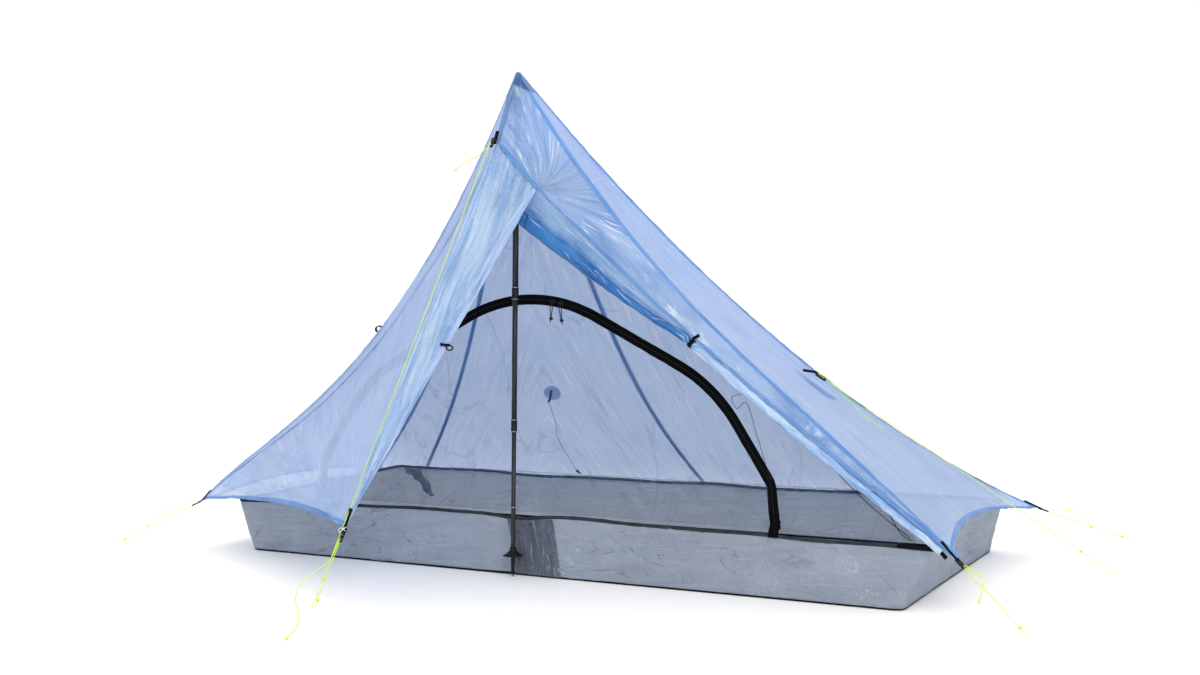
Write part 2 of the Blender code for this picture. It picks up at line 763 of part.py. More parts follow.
def adjuster(name, corner, stake, parent=None, offset=0.026):
    """The line adjuster by a corner. Returns where the line's taut run starts."""
    direction = (stake - corner).normalized()
    block(name, "plastic", corner + direction * offset, ADJUSTER_SIZE, direction, parent)
    return corner + direction * (offset + ADJUSTER_SIZE[0] / 2 + 0.005)


def guyline(name, start, stake, tail, parent=None, turn=Vector((0, 0, 0.009)), knot_at=0.88):
    """One cord: tail, turn at the adjuster, taut run to the knot, and the end at the stake."""
    path = list(reversed(tail))
    path += [start + turn, start, start.lerp(stake, 0.5), start.lerp(stake, knot_at), stake]
    cord(name, "guyline", path, CORD_RADIUS, parent, knots=(len(path) - 2,))


def hanging_tail(start, stake, share, reach, side, fall):
    """A loose tail beside its line: it follows it for a share, then curls away and drops."""
    run = stake - start
    points = [start + run * share * k / 3 + Vector((0, 0, 0.010 + 0.006 * k)) for k in (1, 2, 3)]
    last = points[-1]
    points.append(last + run.normalized() * reach * 0.5 + side * 0.4 - Vector((0, 0, fall * 0.3)))
    points.append(last + run.normalized() * reach + side - Vector((0, 0, fall)))
    return points


def make_corner_lines():
    sides = {"left_front": Vector((-0.01, -0.030, 0)), "right_front": Vector((-0.040, -0.010, 0)),
             "right_back": Vector((0.02, -0.030, 0)), "left_back": Vector((-0.02, 0.030, 0))}
    for name, side in sides.items():
        corner, stake = CORNERS[name], STAKES[name]
        start = adjuster("adjuster_" + name, corner, stake)
        tail = hanging_tail(start, stake, 0.30, 0.05, side, 0.030)
        guyline("guyline_" + name, start, stake, tail)


def make_vestibule_lines(door):
    """The storm door's own line and the brow's line, which lies on the door and shares its stake."""
    corner, stake = CORNERS["vestibule"], STAKES["vestibule"]
    start = adjuster("adjuster_vestibule", corner, stake, door)
    left = Vector((-0.894, 0.447, 0.0))
    tail = [start + left * 0.016 + Vector((-0.010, -0.020, -0.045)), Vector((-0.288, -0.594, 0.078)),
            Vector((-0.282, -0.635, 0.040)), Vector((-0.245, -0.668, 0.005)), Vector((-0.166, -0.768, 0.004)),
            Vector((-0.106, -0.880, 0.004))]
    guyline("guyline_vestibule", start, stake, tail, door, left * 0.009)
    outward = Vector((-0.004, -0.012, 0.0))
    high = BROW + outward
    block("adjuster_brow", "plastic", high + Vector((-0.002, -0.008, 0.0)), (0.030, 0.012, 0.005),
          Vector((-0.2, -0.45, -1.0)), up=Vector((0, -1, 0)))
    top = high + Vector((-0.010, -0.022, -0.022))
    end = stake + Vector((-0.012, -0.030, 0.0))
    tail = [top + Vector((-0.020, -0.016, -0.018)), top + Vector((-0.060, -0.020, -0.034)),
            top + Vector((-0.092, -0.022, -0.058))]
    guyline("guyline_brow", top, end, tail, door, Vector((-0.006, -0.004, 0.006)), knot_at=0.94)


def make_tie_outs():
    """The right end's guyline and the left end's webbing loop."""
    right = right_end_panel()
    base = right(*TIE_OUT_RIGHT) + Vector((0.014, 0.0, 0.022))
    start = adjuster("adjuster_right_middle", base, STAKES["right_middle"], offset=0.020)
    clear = Vector((0.010, 0.0, 0.020))
    tail = [right(TIE_OUT_RIGHT[0] + du, TIE_OUT_RIGHT[1] - dv) + clear
            for du, dv in ((0.080, 0.02), (0.110, 0.06), (0.135, 0.08), (0.160, 0.09))]
    guyline("guyline_right_middle", start, STAKES["right_middle"], tail)
    place = left_end_panel()(*TIE_OUT_LEFT) + Vector((-0.012, -0.004, 0.012))
    ring_loop("tie_out_loop_left", place, 0.009, 0.0024, "webbing", Vector((0.2, 1.0, 0.3)))


def ring_loop(name, centre, radius, thickness, finish, axis, parent=None, squeeze=0.6):
    """A small closed loop of webbing or plastic."""
    turn = Vector((0, 0, 1)).rotation_difference(axis.normalized()).to_matrix()
    rings = []
    for spoke in circle(1.0, 12):
        rings.append([])
        for p in circle(thickness, 6):
            reach = radius + p.x
            rings[-1].append(centre + turn @ Vector((reach * spoke.x, squeeze * reach * spoke.y, p.y)))
    return closed_ring(name, finish, rings, parent)


def closed_ring(name, finish, rings, parent=None):
    """A closed solid through rings whose last one joins on to the first."""
    size = len(rings[0])
    points = [p for ring in rings for p in ring]
    faces = []
    for i in range(len(rings)):
        a, b = i * size, (i + 1) % len(rings) * size
        for j in range(size):
            k = (j + 1) % size
            faces.append((a + j, b + j, b + k, a + k))
    return new_object(name, finish, points, faces, parent)


def make_door_fittings(door):
    """The toggle on the left door's edge and the strap that ties up the right door."""
    pivot = door_edge(TOGGLE_AT) + Vector((0.014, -0.010, 0.004))
    swing = joint_empty("toggle_axis", pivot, parent=door)
    ring_loop("door_toggle_loop", pivot + Vector((0.0, 0.0, -0.008)), 0.010, 0.0022, "plastic",
              Vector((0.0, 1.0, 0.0)), swing)
    make_roll_strap()


def make_roll_strap():
    """A flat strap wrapped round the rolled door."""
    centre, down, side, height, depth = roll_section(ROLL_TIE_AT + 0.020)
    forward = side.cross(down)
    section = [(0.0020, -0.5), (0.0020, 0.5), (0.0036, 0.5), (0.0036, -0.5)]
    rings = []
    for spoke in circle(1.0, 16):
        rings.append([centre + down * (height + clear) * spoke.y + side * (depth + clear) * spoke.x
                      + forward * STRAP_WIDTH * along for clear, along in section])
    closed_ring("roll_tie_strap", "webbing", rings)


def make_inner_cords():
    """The cord that holds the tub's back wall up, and the loose tie cords by the arch."""
    top = back_panel()(0.62, 0.66) + Vector((0.0, -0.030, -0.030))
    foot = Vector((-0.285, FLOOR_BACK - 0.034, TUB_HEIGHT + 0.016))
    middle = top.lerp(foot, 0.45) + Vector((0.0, -0.02, -0.02))
    cord("tub_hold_up_cord", "webbing", [top, middle, foot], THIN_CORD_RADIUS, knots=(2,))
    hem = right_hem(0.52) + Vector((0.0, 0.030, -0.036))
    loop = [hem, Vector((0.705, 0.018, 0.545)), Vector((0.722, 0.012, 0.515)), Vector((0.750, 0.014, 0.530)),
            Vector((0.775, 0.018, 0.450)), Vector((0.805, 0.022, 0.345)), Vector((0.812, 0.024, 0.330))]
    cord("door_tie_cord", "webbing", loop, THIN_CORD_RADIUS, knots=(6,))


def main():
    clear_scene()
    make_peak_cap()
    make_canopy()
    make_floor()
    make_tub()
    make_mesh_front()
    make_skirts()
    hinge_line = CORNERS["left_front"] - BROW
    turn = Vector((1, 0, 0)).rotation_difference(hinge_line.normalized()).to_matrix().to_4x4()
    storm_door = joint_empty("storm_door_axis", BROW, turn)
    make_left_storm_door(storm_door)
    make_door_roll()
    mesh_door = joint_empty("mesh_door_axis", Vector((ARCH_CENTRE_X, WALL_FOOT.y, WALL_FOOT.z)))
    make_mesh_door(mesh_door)
    make_zip_slider("left")
    make_zip_slider("right")
    make_pole()
    make_corner_lines()
    make_vestibule_lines(storm_door)
    make_tie_outs()
    make_door_fittings(storm_door)
    make_inner_cords()


main()
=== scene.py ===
import json
import math

import bpy
import numpy as np
from mathutils import Matrix, Vector


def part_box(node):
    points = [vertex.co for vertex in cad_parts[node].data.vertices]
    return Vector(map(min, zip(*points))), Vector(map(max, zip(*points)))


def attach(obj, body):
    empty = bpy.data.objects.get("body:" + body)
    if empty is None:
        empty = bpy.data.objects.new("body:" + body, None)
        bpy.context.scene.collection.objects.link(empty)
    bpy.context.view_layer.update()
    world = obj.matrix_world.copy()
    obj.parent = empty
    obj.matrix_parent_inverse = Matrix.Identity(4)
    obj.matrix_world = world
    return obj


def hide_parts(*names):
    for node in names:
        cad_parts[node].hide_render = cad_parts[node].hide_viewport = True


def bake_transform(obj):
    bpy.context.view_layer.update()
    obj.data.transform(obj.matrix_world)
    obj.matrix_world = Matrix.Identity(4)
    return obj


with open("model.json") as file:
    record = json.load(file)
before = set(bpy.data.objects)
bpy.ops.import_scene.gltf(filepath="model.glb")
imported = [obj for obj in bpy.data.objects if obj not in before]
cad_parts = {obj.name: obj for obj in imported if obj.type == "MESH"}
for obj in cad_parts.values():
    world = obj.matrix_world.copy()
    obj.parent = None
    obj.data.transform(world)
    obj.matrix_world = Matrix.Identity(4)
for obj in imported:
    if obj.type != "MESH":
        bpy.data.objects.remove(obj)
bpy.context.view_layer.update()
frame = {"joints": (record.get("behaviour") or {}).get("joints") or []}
JOINTS = {joint["name"]: joint for joint in frame["joints"]}


def vec(x, y, z):
    return Vector((x, y, z))


def steps_from(place, *steps):
    """Points at the given steps from place."""
    return [place + Vector(step) for step in steps]


def turns(count, closed=False):
    """Angles at even steps round a full turn; closed repeats the first at the end."""
    return [2 * math.pi * k / count for k in range(count + closed)]


# The frame's lines ------------------------------------------------------------
# These are the lines the CAD is built on, so each piece lies where its node does.

PEAK = vec(0.004, 0.085, 1.49)
BROW = Vector(JOINTS["storm_door_lift"]["pos_m"])
LAP = vec(0.13, -0.028, 1.133)
LEFT_FRONT = vec(-1.23, 0.02, 0.153)
RIGHT_FRONT = vec(1.311, 0.02, 0.153)
RIGHT_BACK = vec(1.302, 0.97, 0.135)
LEFT_BACK = vec(-1.23, 0.97, 0.135)
VESTIBULE = vec(-0.222, -0.494, 0.212)
RIDGES = {
    "left_front": (LEFT_FRONT, 0.215, 0.4),
    "right_front": (RIGHT_FRONT, 0.117, 0.36),
    "right_back": (RIGHT_BACK, 0.155, 0.5),
    "left_back": (LEFT_BACK, 0.19, 0.45),
}
CAP_REACH, BROW_REACH, LAP_REACH = 0.034, 0.17, 0.25
BACK_SEAMS = (0.44, 0.91)
FLOOR_LOW, FLOOR_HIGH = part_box("floor_sheet")
FLOOR_LEFT, FLOOR_FRONT = FLOOR_LOW.x - 0.003, FLOOR_LOW.y - 0.003
FLOOR_RIGHT, FLOOR_BACK = FLOOR_HIGH.x + 0.003, FLOOR_HIGH.y + 0.003
TUB_HEIGHT = 0.168
WALL_FOOT = vec(0.0, *JOINTS["mesh_door_drop"]["pos_m"][1:])
WALL_LEAN = math.atan(0.0568)
ARCH_X, ARCH_HEIGHT, ARCH_TOP_RADIUS = 0.035, 0.628, 0.49
ARCH_RUNS = ((ARCH_TOP_RADIUS * math.radians(27), 27), (0.295, 0), (0.246, 30), (0.172, 0), (0.0227, 26),
             (0.1134, 0))
ARCH_LENGTH = sum(length for length, _ in ARCH_RUNS)
DOOR_SHARE = 1 - 2 / 120
POLE_AXIS = Vector(JOINTS["pole_lower_slide"]["axis"]).normalized()
POLE_FRAME = vec(0, 0, 1).rotation_difference(POLE_AXIS).to_matrix().to_4x4()
UPPER_LOCK, LOWER_LOCK = 0.815, 0.425  # heights of the two locks along the pole
ROLL_TIE_AT = 0.385  # the share of the rolled door's length where its tie is
GUYLINE, PULL_CORD, THIN_CORD = 0.0012, 0.0014, 0.0008  # radii
STAKES = {
    "left_front": vec(-1.522, -0.094, 0.004),
    "right_front": vec(1.526, -0.119, 0.004),
    "right_back": vec(1.534, 1.252, 0.004),
    "left_back": vec(-1.51, 1.24, 0.004),
    "vestibule": vec(-0.262, -0.583, 0.004),
    "right_middle": vec(1.59, 0.674, 0.004),
}


def sag(t, depth, deepest):
    fall = max(0.0, (1 - t) / (1 - deepest)) ** ((1 - deepest) / deepest)
    return depth * t / deepest * fall


def sagging_line(start, end, depth, deepest, t):
    point = start.lerp(end, t)
    point.z -= sag(t, depth, deepest)
    return point


def ridge(name, t):
    corner, depth, deepest = RIDGES[name]
    return sagging_line(PEAK, corner, depth, deepest, t)


def left_fold(t):
    return sagging_line(BROW, LEFT_FRONT, 0.165, 0.4, t)


def right_hem(t):
    return sagging_line(LAP, RIGHT_FRONT, 0.032, 0.45, t)


def left_beak_edge(t):
    if t < BROW_REACH:
        return PEAK.lerp(BROW, t / BROW_REACH)
    return left_fold((t - BROW_REACH) / (1 - BROW_REACH))


def right_beak_edge(t):
    if t < BROW_REACH:
        return PEAK.lerp(BROW, t / BROW_REACH)
    if t < LAP_REACH:
        return BROW.lerp(LAP, (t - BROW_REACH) / (LAP_REACH - BROW_REACH))
    return right_hem((t - LAP_REACH) / (1 - LAP_REACH))


def front_crease(t):
    return BROW.lerp(VESTIBULE, t)


def door_edge(t):
    return LAP.lerp(VESTIBULE, t)


def ruled(first, second, hem_rise, bow):
    """A canopy face ruled between two lines, with an arched hem and an inward bow."""
    def surface(u, v):
        arch = 4 * v * (1 - v)
        depth = u * (1 - hem_rise * arch)
        point = first(depth).lerp(second(depth), v)
        inward = (vec(0.0, 0.4, 0.2) - point).normalized()
        return point + inward * bow * arch * math.sin(math.pi * min(1.0, depth))
    return surface


def ridge_line(name):
    return lambda t: ridge(name, t)


RIGHT_END = ruled(ridge_line("right_front"), ridge_line("right_back"), 0.045, 0.01)
BACK = ruled(ridge_line("right_back"), ridge_line("left_back"), 0.008, 0.012)
LEFT_END = ruled(ridge_line("left_back"), ridge_line("left_front"), 0.045, 0.01)
LEFT_BEAK = ruled(ridge_line("left_front"), left_beak_edge, 0.0, 0.0)
RIGHT_BEAK = ruled(right_beak_edge, ridge_line("right_front"), 0.0, 0.0)
DOOR_PANEL = ruled(left_fold, front_crease, 0.03, 0.006)


def roll_section(t):
    """Centre, downward direction, side direction, half height and half depth of the door roll at t."""
    direction = (right_hem(min(1.0, t + 0.01)) - right_hem(max(0.0, t - 0.01))).normalized()
    down = vec(0, 1, 0).cross(direction).normalized()
    if down.z > 0:
        down.negate()
    loose = max(0.0, 1 - t / ROLL_TIE_AT)
    down = (down + vec(0, 0, -1.5 * loose)).normalized()
    side = direction.cross(down).normalized()
    height = 0.0095 + 0.049 * loose + 0.006 * (1 - t)
    depth = 0.011 + 0.008 * loose
    centre = right_hem(t) + down * (height + 0.004) + vec(0, 0.004 + 0.02 * loose, 0)
    return centre, down, side, height, depth


def tub_corner(name, share):
    x = FLOOR_LEFT if "left" in name else FLOOR_RIGHT
    y = FLOOR_FRONT if "front" in name else FLOOR_BACK
    flare = {"left_front": (-0.06, 0.003), "right_front": (0.087, 0.003),
             "right_back": (0.05, -0.02), "left_back": (-0.045, -0.02)}[name]
    return vec(x, y, 0.0) + vec(*flare, TUB_HEIGHT) * share


WALLS = {"front": ("left_front", "right_front"), "right": ("right_front", "right_back"),
         "back": ("right_back", "left_back"), "left": ("left_back", "left_front")}


def near_pole(x):
    return math.exp(-(x / 0.08) ** 2)


def tub_edge(side, t):
    start, end = WALLS[side]
    edge = tub_corner(start, 1).lerp(tub_corner(end, 1), t)
    arch = math.sin(math.pi * t)
    if side == "front":
        edge.z += 0.014 * arch - 0.014 * near_pole(edge.x)
    else:
        edge.z -= 0.004 * arch
    if side == "right":
        edge.x -= 0.055 * arch
    return edge


def front_share(x, level):
    """The share of the front wall's length at x; level is 0 at the floor and 1 at the rim."""
    left, right = (tub_corner(name, level).x for name in WALLS["front"])
    return (x - left) / (right - left)


def tub_wall(side, t, height):
    start, end = WALLS[side]
    point = tub_corner(start, 0).lerp(tub_corner(end, 0), t).lerp(tub_edge(side, t), height)
    if side == "front":
        point.y += 0.022 * near_pole(point.x) * math.sin(0.5 * math.pi * math.sqrt(height))
    return point


def on_wall(x, height, out=0.0):
    z = WALL_FOOT.z + height * math.cos(WALL_LEAN)
    y = WALL_FOOT.y + height * math.sin(WALL_LEAN)
    return vec(x, y - out, z)


def arch_point(share, offset=0.0):
    """A point of the door's arch as x and height; share is 0 at its top and 1 or -1 at its feet."""
    side = 1 if share >= 0 else -1
    left = abs(share) * ARCH_LENGTH
    x, height, slope = 0.0, ARCH_HEIGHT, 0.0
    for length, turn in ARCH_RUNS:
        part = min(length, left)
        left -= part
        if turn:
            radius = length / math.radians(turn)
            bent = slope + part / radius
            x += radius * (math.sin(bent) - math.sin(slope))
            height -= radius * (math.cos(slope) - math.cos(bent))
            slope = bent
        else:
            x += part * math.cos(slope)
            height -= part * math.sin(slope)
        if left <= 0:
            break
    return ARCH_X + side * (x + offset * math.sin(slope)), height + offset * math.cos(slope)


# Colours and shader nodes -------------------------------------------------------

def rgb(red, green, blue):
    """A colour in linear light from its 0 to 255 screen values."""
    return (*(((c / 255 + 0.055) / 1.055) ** 2.4 if c > 10 else c / 255 / 12.92
              for c in (red, green, blue)), 1.0)


class Tree:
    """A material's node tree, with short calls for the nodes used here."""

    def __init__(self, name):
        self.material = bpy.data.materials.new(name)
        self.material.use_nodes = True
        self.tree = self.material.node_tree
        self.tree.nodes.clear()
        self.output = self.tree.nodes.new("ShaderNodeOutputMaterial")

    def put(self, kind, settings=None, **values):
        node = self.tree.nodes.new("ShaderNode" + kind)
        for key, value in (settings or {}).items():
            setattr(node, key, value)
        for key, value in values.items():
            self.plug(node.inputs[key.replace("_", " ")], value)
        return node

    def plug(self, socket, value):
        if isinstance(value, bpy.types.NodeSocket):
            self.tree.links.new(value, socket)
        else:
            socket.default_value = value

    def calc(self, operation, first, *others):
        """One math node for each further value: calc("ADD", a, b, c) is a + b + c."""
        for other in others or (None,):
            node = self.put("Math", {"operation": operation})
            self.plug(node.inputs[0], first)
            if other is not None:
                self.plug(node.inputs[1], other)
            first = node.outputs[0]
        return first

    def plus(self, *values):
        return self.calc("ADD", *values)

    def times(self, *values):
        return self.calc("MULTIPLY", *values)

    def most(self, *values):
        return self.calc("MAXIMUM", *values)

    def blend(self, share, *colours):
        """Mixes two colours, each a socket, 0 to 255 screen values, or four linear shares."""
        node = self.put("Mix", {"data_type": "RGBA"})
        self.plug(node.inputs["Factor"], share)
        for socket, colour in zip(node.inputs[6:8], colours):
            self.plug(socket, rgb(*colour) if isinstance(colour, tuple) and len(colour) == 3 else colour)
        return node.outputs[2]

    def ramp(self, value, low, high, start=0.0, end=1.0):
        return self.put("MapRange", Value=value, From_Min=low, From_Max=high, To_Min=start,
                        To_Max=end).outputs[0]

    def place(self, source="Object", scale=(1, 1, 1), turn=(0, 0, 0)):
        coordinates = self.put("TexCoord").outputs[source]
        return self.put("Mapping", Vector=coordinates, Scale=scale, Rotation=turn).outputs[0]

    def noise(self, vector, scale, detail=4.0, roughness=0.55, distortion=0.0):
        return self.put("TexNoise", Vector=vector, Scale=scale, Detail=detail, Roughness=roughness,
                        Distortion=distortion).outputs["Fac"]

    def near(self, value, middle, width):
        """1 where value is middle, falling to 0 at width away from it."""
        return self.ramp(self.calc("ABSOLUTE", self.calc("SUBTRACT", value, middle)), 0.0, width, 1.0, 0.0)

    def creases(self, vector, scale, width, wander=0.5):
        """Thin lines, 1 on the line, where a film has been folded."""
        return self.near(self.noise(vector, scale, 3.0, 0.5, wander), 0.5, width)

    def lines(self, vector, period, direction="X"):
        """A sine wave from 0 to 1 along one axis; period is in the vector's units."""
        settings = {"wave_type": "BANDS", "bands_direction": direction}
        return self.put("TexWave", settings, Vector=vector, Scale=2 * math.pi / 20 / period).outputs["Fac"]

    def crossed(self, turn, period):
        """Two sets of lines, turned to each side of the cloth's length."""
        return [self.lines(self.place("UV", turn=(0, 0, way * turn)), period) for way in (1, -1)]

    def bump(self, height, strength, distance):
        return self.put("Bump", Height=height, Strength=strength, Distance=distance).outputs[0]

    def over(self, share, first, second):
        """Mixes two shader nodes; share is how much shows of the second."""
        node = self.put("MixShader", Fac=share)
        self.plug(node.inputs[1], first.outputs[0])
        self.plug(node.inputs[2], second.outputs[0])
        return node

    def face(self, colour, rough, normal, **more):
        return self.put("BsdfPrincipled", Base_Color=colour, Roughness=rough, Normal=normal, **more)

    def done(self, shader):
        self.plug(self.output.inputs["Surface"], shader.outputs[0])
        return self.material


FIBRE_TURN, FIBRE_PITCH = 0.62, 0.0085
MESH_PITCH = 0.0024


def laminate(name, light, deep, see, glow, rough=0.34, relief=0.5, streaks=0.35, sparkle=0.3, star=0.0,
             band=None):
    """Thin film laminate: crossed fibres, wrinkles along the grain with painted shade and highlight beside
    them, painted glints, and light that comes through from behind.

    see is the share that is clear, glow the share lit from behind, streaks the strength of the painted
    shade and highlight along the wrinkles, sparkle the strength of the painted glints, star the strength
    of the creases a packed floor has with their painted shade and glints, and band the colour of a
    doubled edge."""
    tree = Tree(name)
    flat = tree.place("UV")
    body = tree.place("Object")
    grain = tree.put("UVMap", {"uv_map": "grain"}).outputs[0]

    def streaked(scale, detail, wander):
        mapped = tree.put("Mapping", Vector=grain, Scale=scale).outputs[0]
        return tree.noise(mapped, 1.0, detail, 0.6, wander)
    wide, fine = streaked((3.5, 34.0, 1.0), 4.0, 0.5), streaked((8.0, 120.0, 1.0), 3.0, 0.4)
    thin = tree.ramp(tree.most(*tree.crossed(FIBRE_TURN, FIBRE_PITCH)), 0.9, 1.0)
    crumple = tree.noise(flat, 38.0, 6.0, 0.62, 0.6)
    creases = tree.creases(flat, 30.0, 0.022, 1.8)
    # tone: the random tint and the fibres are the film's own; the wide and fine terms, set by streaks, are
    # painted shade and highlight along the wrinkles
    tone = tree.plus(tree.ramp(tree.noise(body, 4.0, 5.0), 0.3, 0.7, 0.0, 0.4), tree.times(thin, 0.16),
                     tree.ramp(wide, 0.35, 0.65, -streaks, streaks),
                     tree.ramp(fine, 0.35, 0.6, streaks * 0.5, 0.0))
    colour = tree.blend(tree.calc("MINIMUM", tree.most(tone, 0.0), 1.0), light, deep)
    if band:
        low = tree.put("SeparateXYZ", Vector=grain).outputs["Y"]
        ragged = tree.plus(low, tree.ramp(tree.noise(body, 9.0, 5.0, 0.62), 0.3, 0.7, -0.022, 0.022))
        colour = tree.blend(tree.ramp(ragged, 0.03, 0.078), colour, band)
    # patchy and glint: painted glints, thin white streaks along the fine wrinkles standing in for
    # highlights, as strong as sparkle
    patchy = tree.ramp(tree.noise(body, 9.0, 4.0), 0.4, 0.58)
    glint = tree.times(tree.ramp(fine, 0.565, 0.65), tree.times(patchy, sparkle))
    if star:
        # Painted shade along the folds, dark grey in patches, and painted glints along the creases, as
        # strong as star
        folds = tree.creases(tree.place("UV", scale=(1.0, 0.3, 1.0)), 9.0, 0.011, 1.6)
        fold_shade_patches = tree.ramp(tree.noise(body, 5.0, 2.0), 0.42, 0.62, 0.0, 0.55)
        colour = tree.blend(tree.times(folds, fold_shade_patches), colour, (74, 80, 92))
        spots = tree.ramp(tree.noise(body, 11.0, 2.0), 0.5, 0.64)
        glint = tree.most(glint, tree.times(creases, spots, star))
    # The painted glints are blended in as near-white
    colour = tree.blend(glint, colour, (232, 242, 253))
    height = tree.plus(tree.times(wide, 1.4), tree.times(fine, 0.5), tree.times(crumple, 0.6),
                       tree.times(creases, 0.12 + 0.3 * star), tree.times(thin, 0.04))
    normal = tree.bump(height, relief, 0.006)
    cloth = tree.over(glow, tree.face(colour, rough, normal, Specular_IOR_Level=0.45),
                      tree.put("BsdfTranslucent", Color=colour, Normal=normal))
    return tree.done(tree.over(see, cloth, tree.put("BsdfTransparent", Color=(0.9, 0.95, 1.0, 1.0))))


def netting(name, colour, cover):
    """Insect netting: a fine grid of threads, with tension creases where it shows denser."""
    tree = Tree(name)
    flat = tree.place("UV")
    threads = tree.most(tree.lines(flat, MESH_PITCH, "X"), tree.lines(flat, MESH_PITCH, "Y"))
    folds = tree.creases(tree.place("UV", scale=(1.0, 0.45, 1.0), turn=(0, 0, 0.6)), 5.0, 0.012, 0.8)
    share = tree.plus(tree.ramp(threads, 0.55, 1.0, cover - 0.13, cover + 0.17), tree.times(folds, 0.14))
    tone = tree.blend(tree.noise(flat, 6.0), colour, (84, 102, 128))
    thread = tree.face(tone, 0.7, tree.bump(threads, 0.3, 0.0006))
    return tree.done(tree.over(share, tree.put("BsdfTransparent"), thread))


def woven(name, colour, lift, rib=0.0011, edge=0.0):
    """Woven tape: ribs across it, a looser pick along it and fuzz; edge is where a stitch row runs."""
    tree = Tree(name)
    flat = tree.place("UV")
    ribs = tree.lines(flat, rib, "X")
    height = tree.plus(ribs, tree.times(tree.lines(flat, rib * 1.7, "Y"), 0.5),
                       tree.noise(flat, 900.0, 3.0))
    tone = tree.plus(tree.times(ribs, 0.5), tree.ramp(tree.noise(flat, 30.0), 0.3, 0.7, 0.0, 0.5))
    shade = tree.blend(tone, colour, lift)
    if edge:
        row = tree.near(tree.put("SeparateXYZ", Vector=flat).outputs["Y"], edge, 0.0006)
        stitch = tree.times(row, tree.ramp(tree.lines(flat, 0.0036, "X"), 0.4, 0.46))
        shade = tree.blend(stitch, shade, lift)
        height = tree.plus(height, tree.times(stitch, 2.0))
    return tree.done(tree.face(shade, 0.78, tree.bump(height, 0.5, 0.0006), Specular_IOR_Level=0.06))


def braid(name, colour, deep):
    """Round braided cord: two crossing spirals of strands."""
    tree = Tree(name)
    strands = tree.most(*tree.crossed(0.85, 0.0016))
    shade = tree.blend(tree.ramp(strands, 0.2, 0.9), deep, colour)
    return tree.done(tree.face(shade, 0.6, tree.bump(strands, 0.5, 0.0004), Specular_IOR_Level=0.2))


def moulded(name, colour, lift, rough):
    """Moulded plastic: fine spark texture, worn a little lighter in patches."""
    tree = Tree(name)
    body = tree.place("Object")
    grain = tree.noise(body, 2600.0, 3.0)
    shade = tree.blend(tree.ramp(tree.noise(body, 160.0, 5.0), 0.5, 0.72), colour, lift)
    matt = tree.ramp(grain, 0.3, 0.7, rough - 0.08, rough + 0.1)
    return tree.done(tree.face(shade, matt, tree.bump(grain, 0.25, 0.0003), Specular_IOR_Level=0.25))


def carbon(name):
    """Satin carbon tube: a faint twill under a clear coat."""
    tree = Tree(name)
    twill = tree.times(*tree.crossed(0.785, 0.003))
    shade = tree.blend(twill, (18, 19, 22), (46, 48, 54))
    matt = tree.ramp(tree.noise(tree.place("Object"), 240.0, 5.0), 0.3, 0.8, 0.28, 0.5)
    return tree.done(tree.face(shade, matt, tree.bump(twill, 0.12, 0.0002), Specular_IOR_Level=0.3,
                               Coat_Weight=0.12, Coat_Roughness=0.2))


def metal(name, colour, rough):
    """Turned metal: fine rings round the axis."""
    tree = Tree(name)
    rings = tree.lines(tree.place("Object"), 0.0007, "Z")
    scuff = tree.noise(tree.place("Object"), 700.0, 4.0)
    shade = tree.blend(scuff, colour, (150, 152, 156))
    matt = tree.ramp(scuff, 0.3, 0.7, rough, rough + 0.2)
    return tree.done(tree.face(shade, matt, tree.bump(rings, 0.15, 0.0002), Metallic=1.0))


def foam(name):
    """Closed foam: small round cells."""
    tree = Tree(name)
    body = tree.place("Object")
    cells = tree.put("TexVoronoi", Vector=body, Scale=900.0).outputs["Distance"]
    shade = tree.blend(tree.noise(body, 60.0), (22, 22, 24), (44, 44, 47))
    return tree.done(tree.face(shade, 0.9, tree.bump(cells, 0.4, 0.0006)))


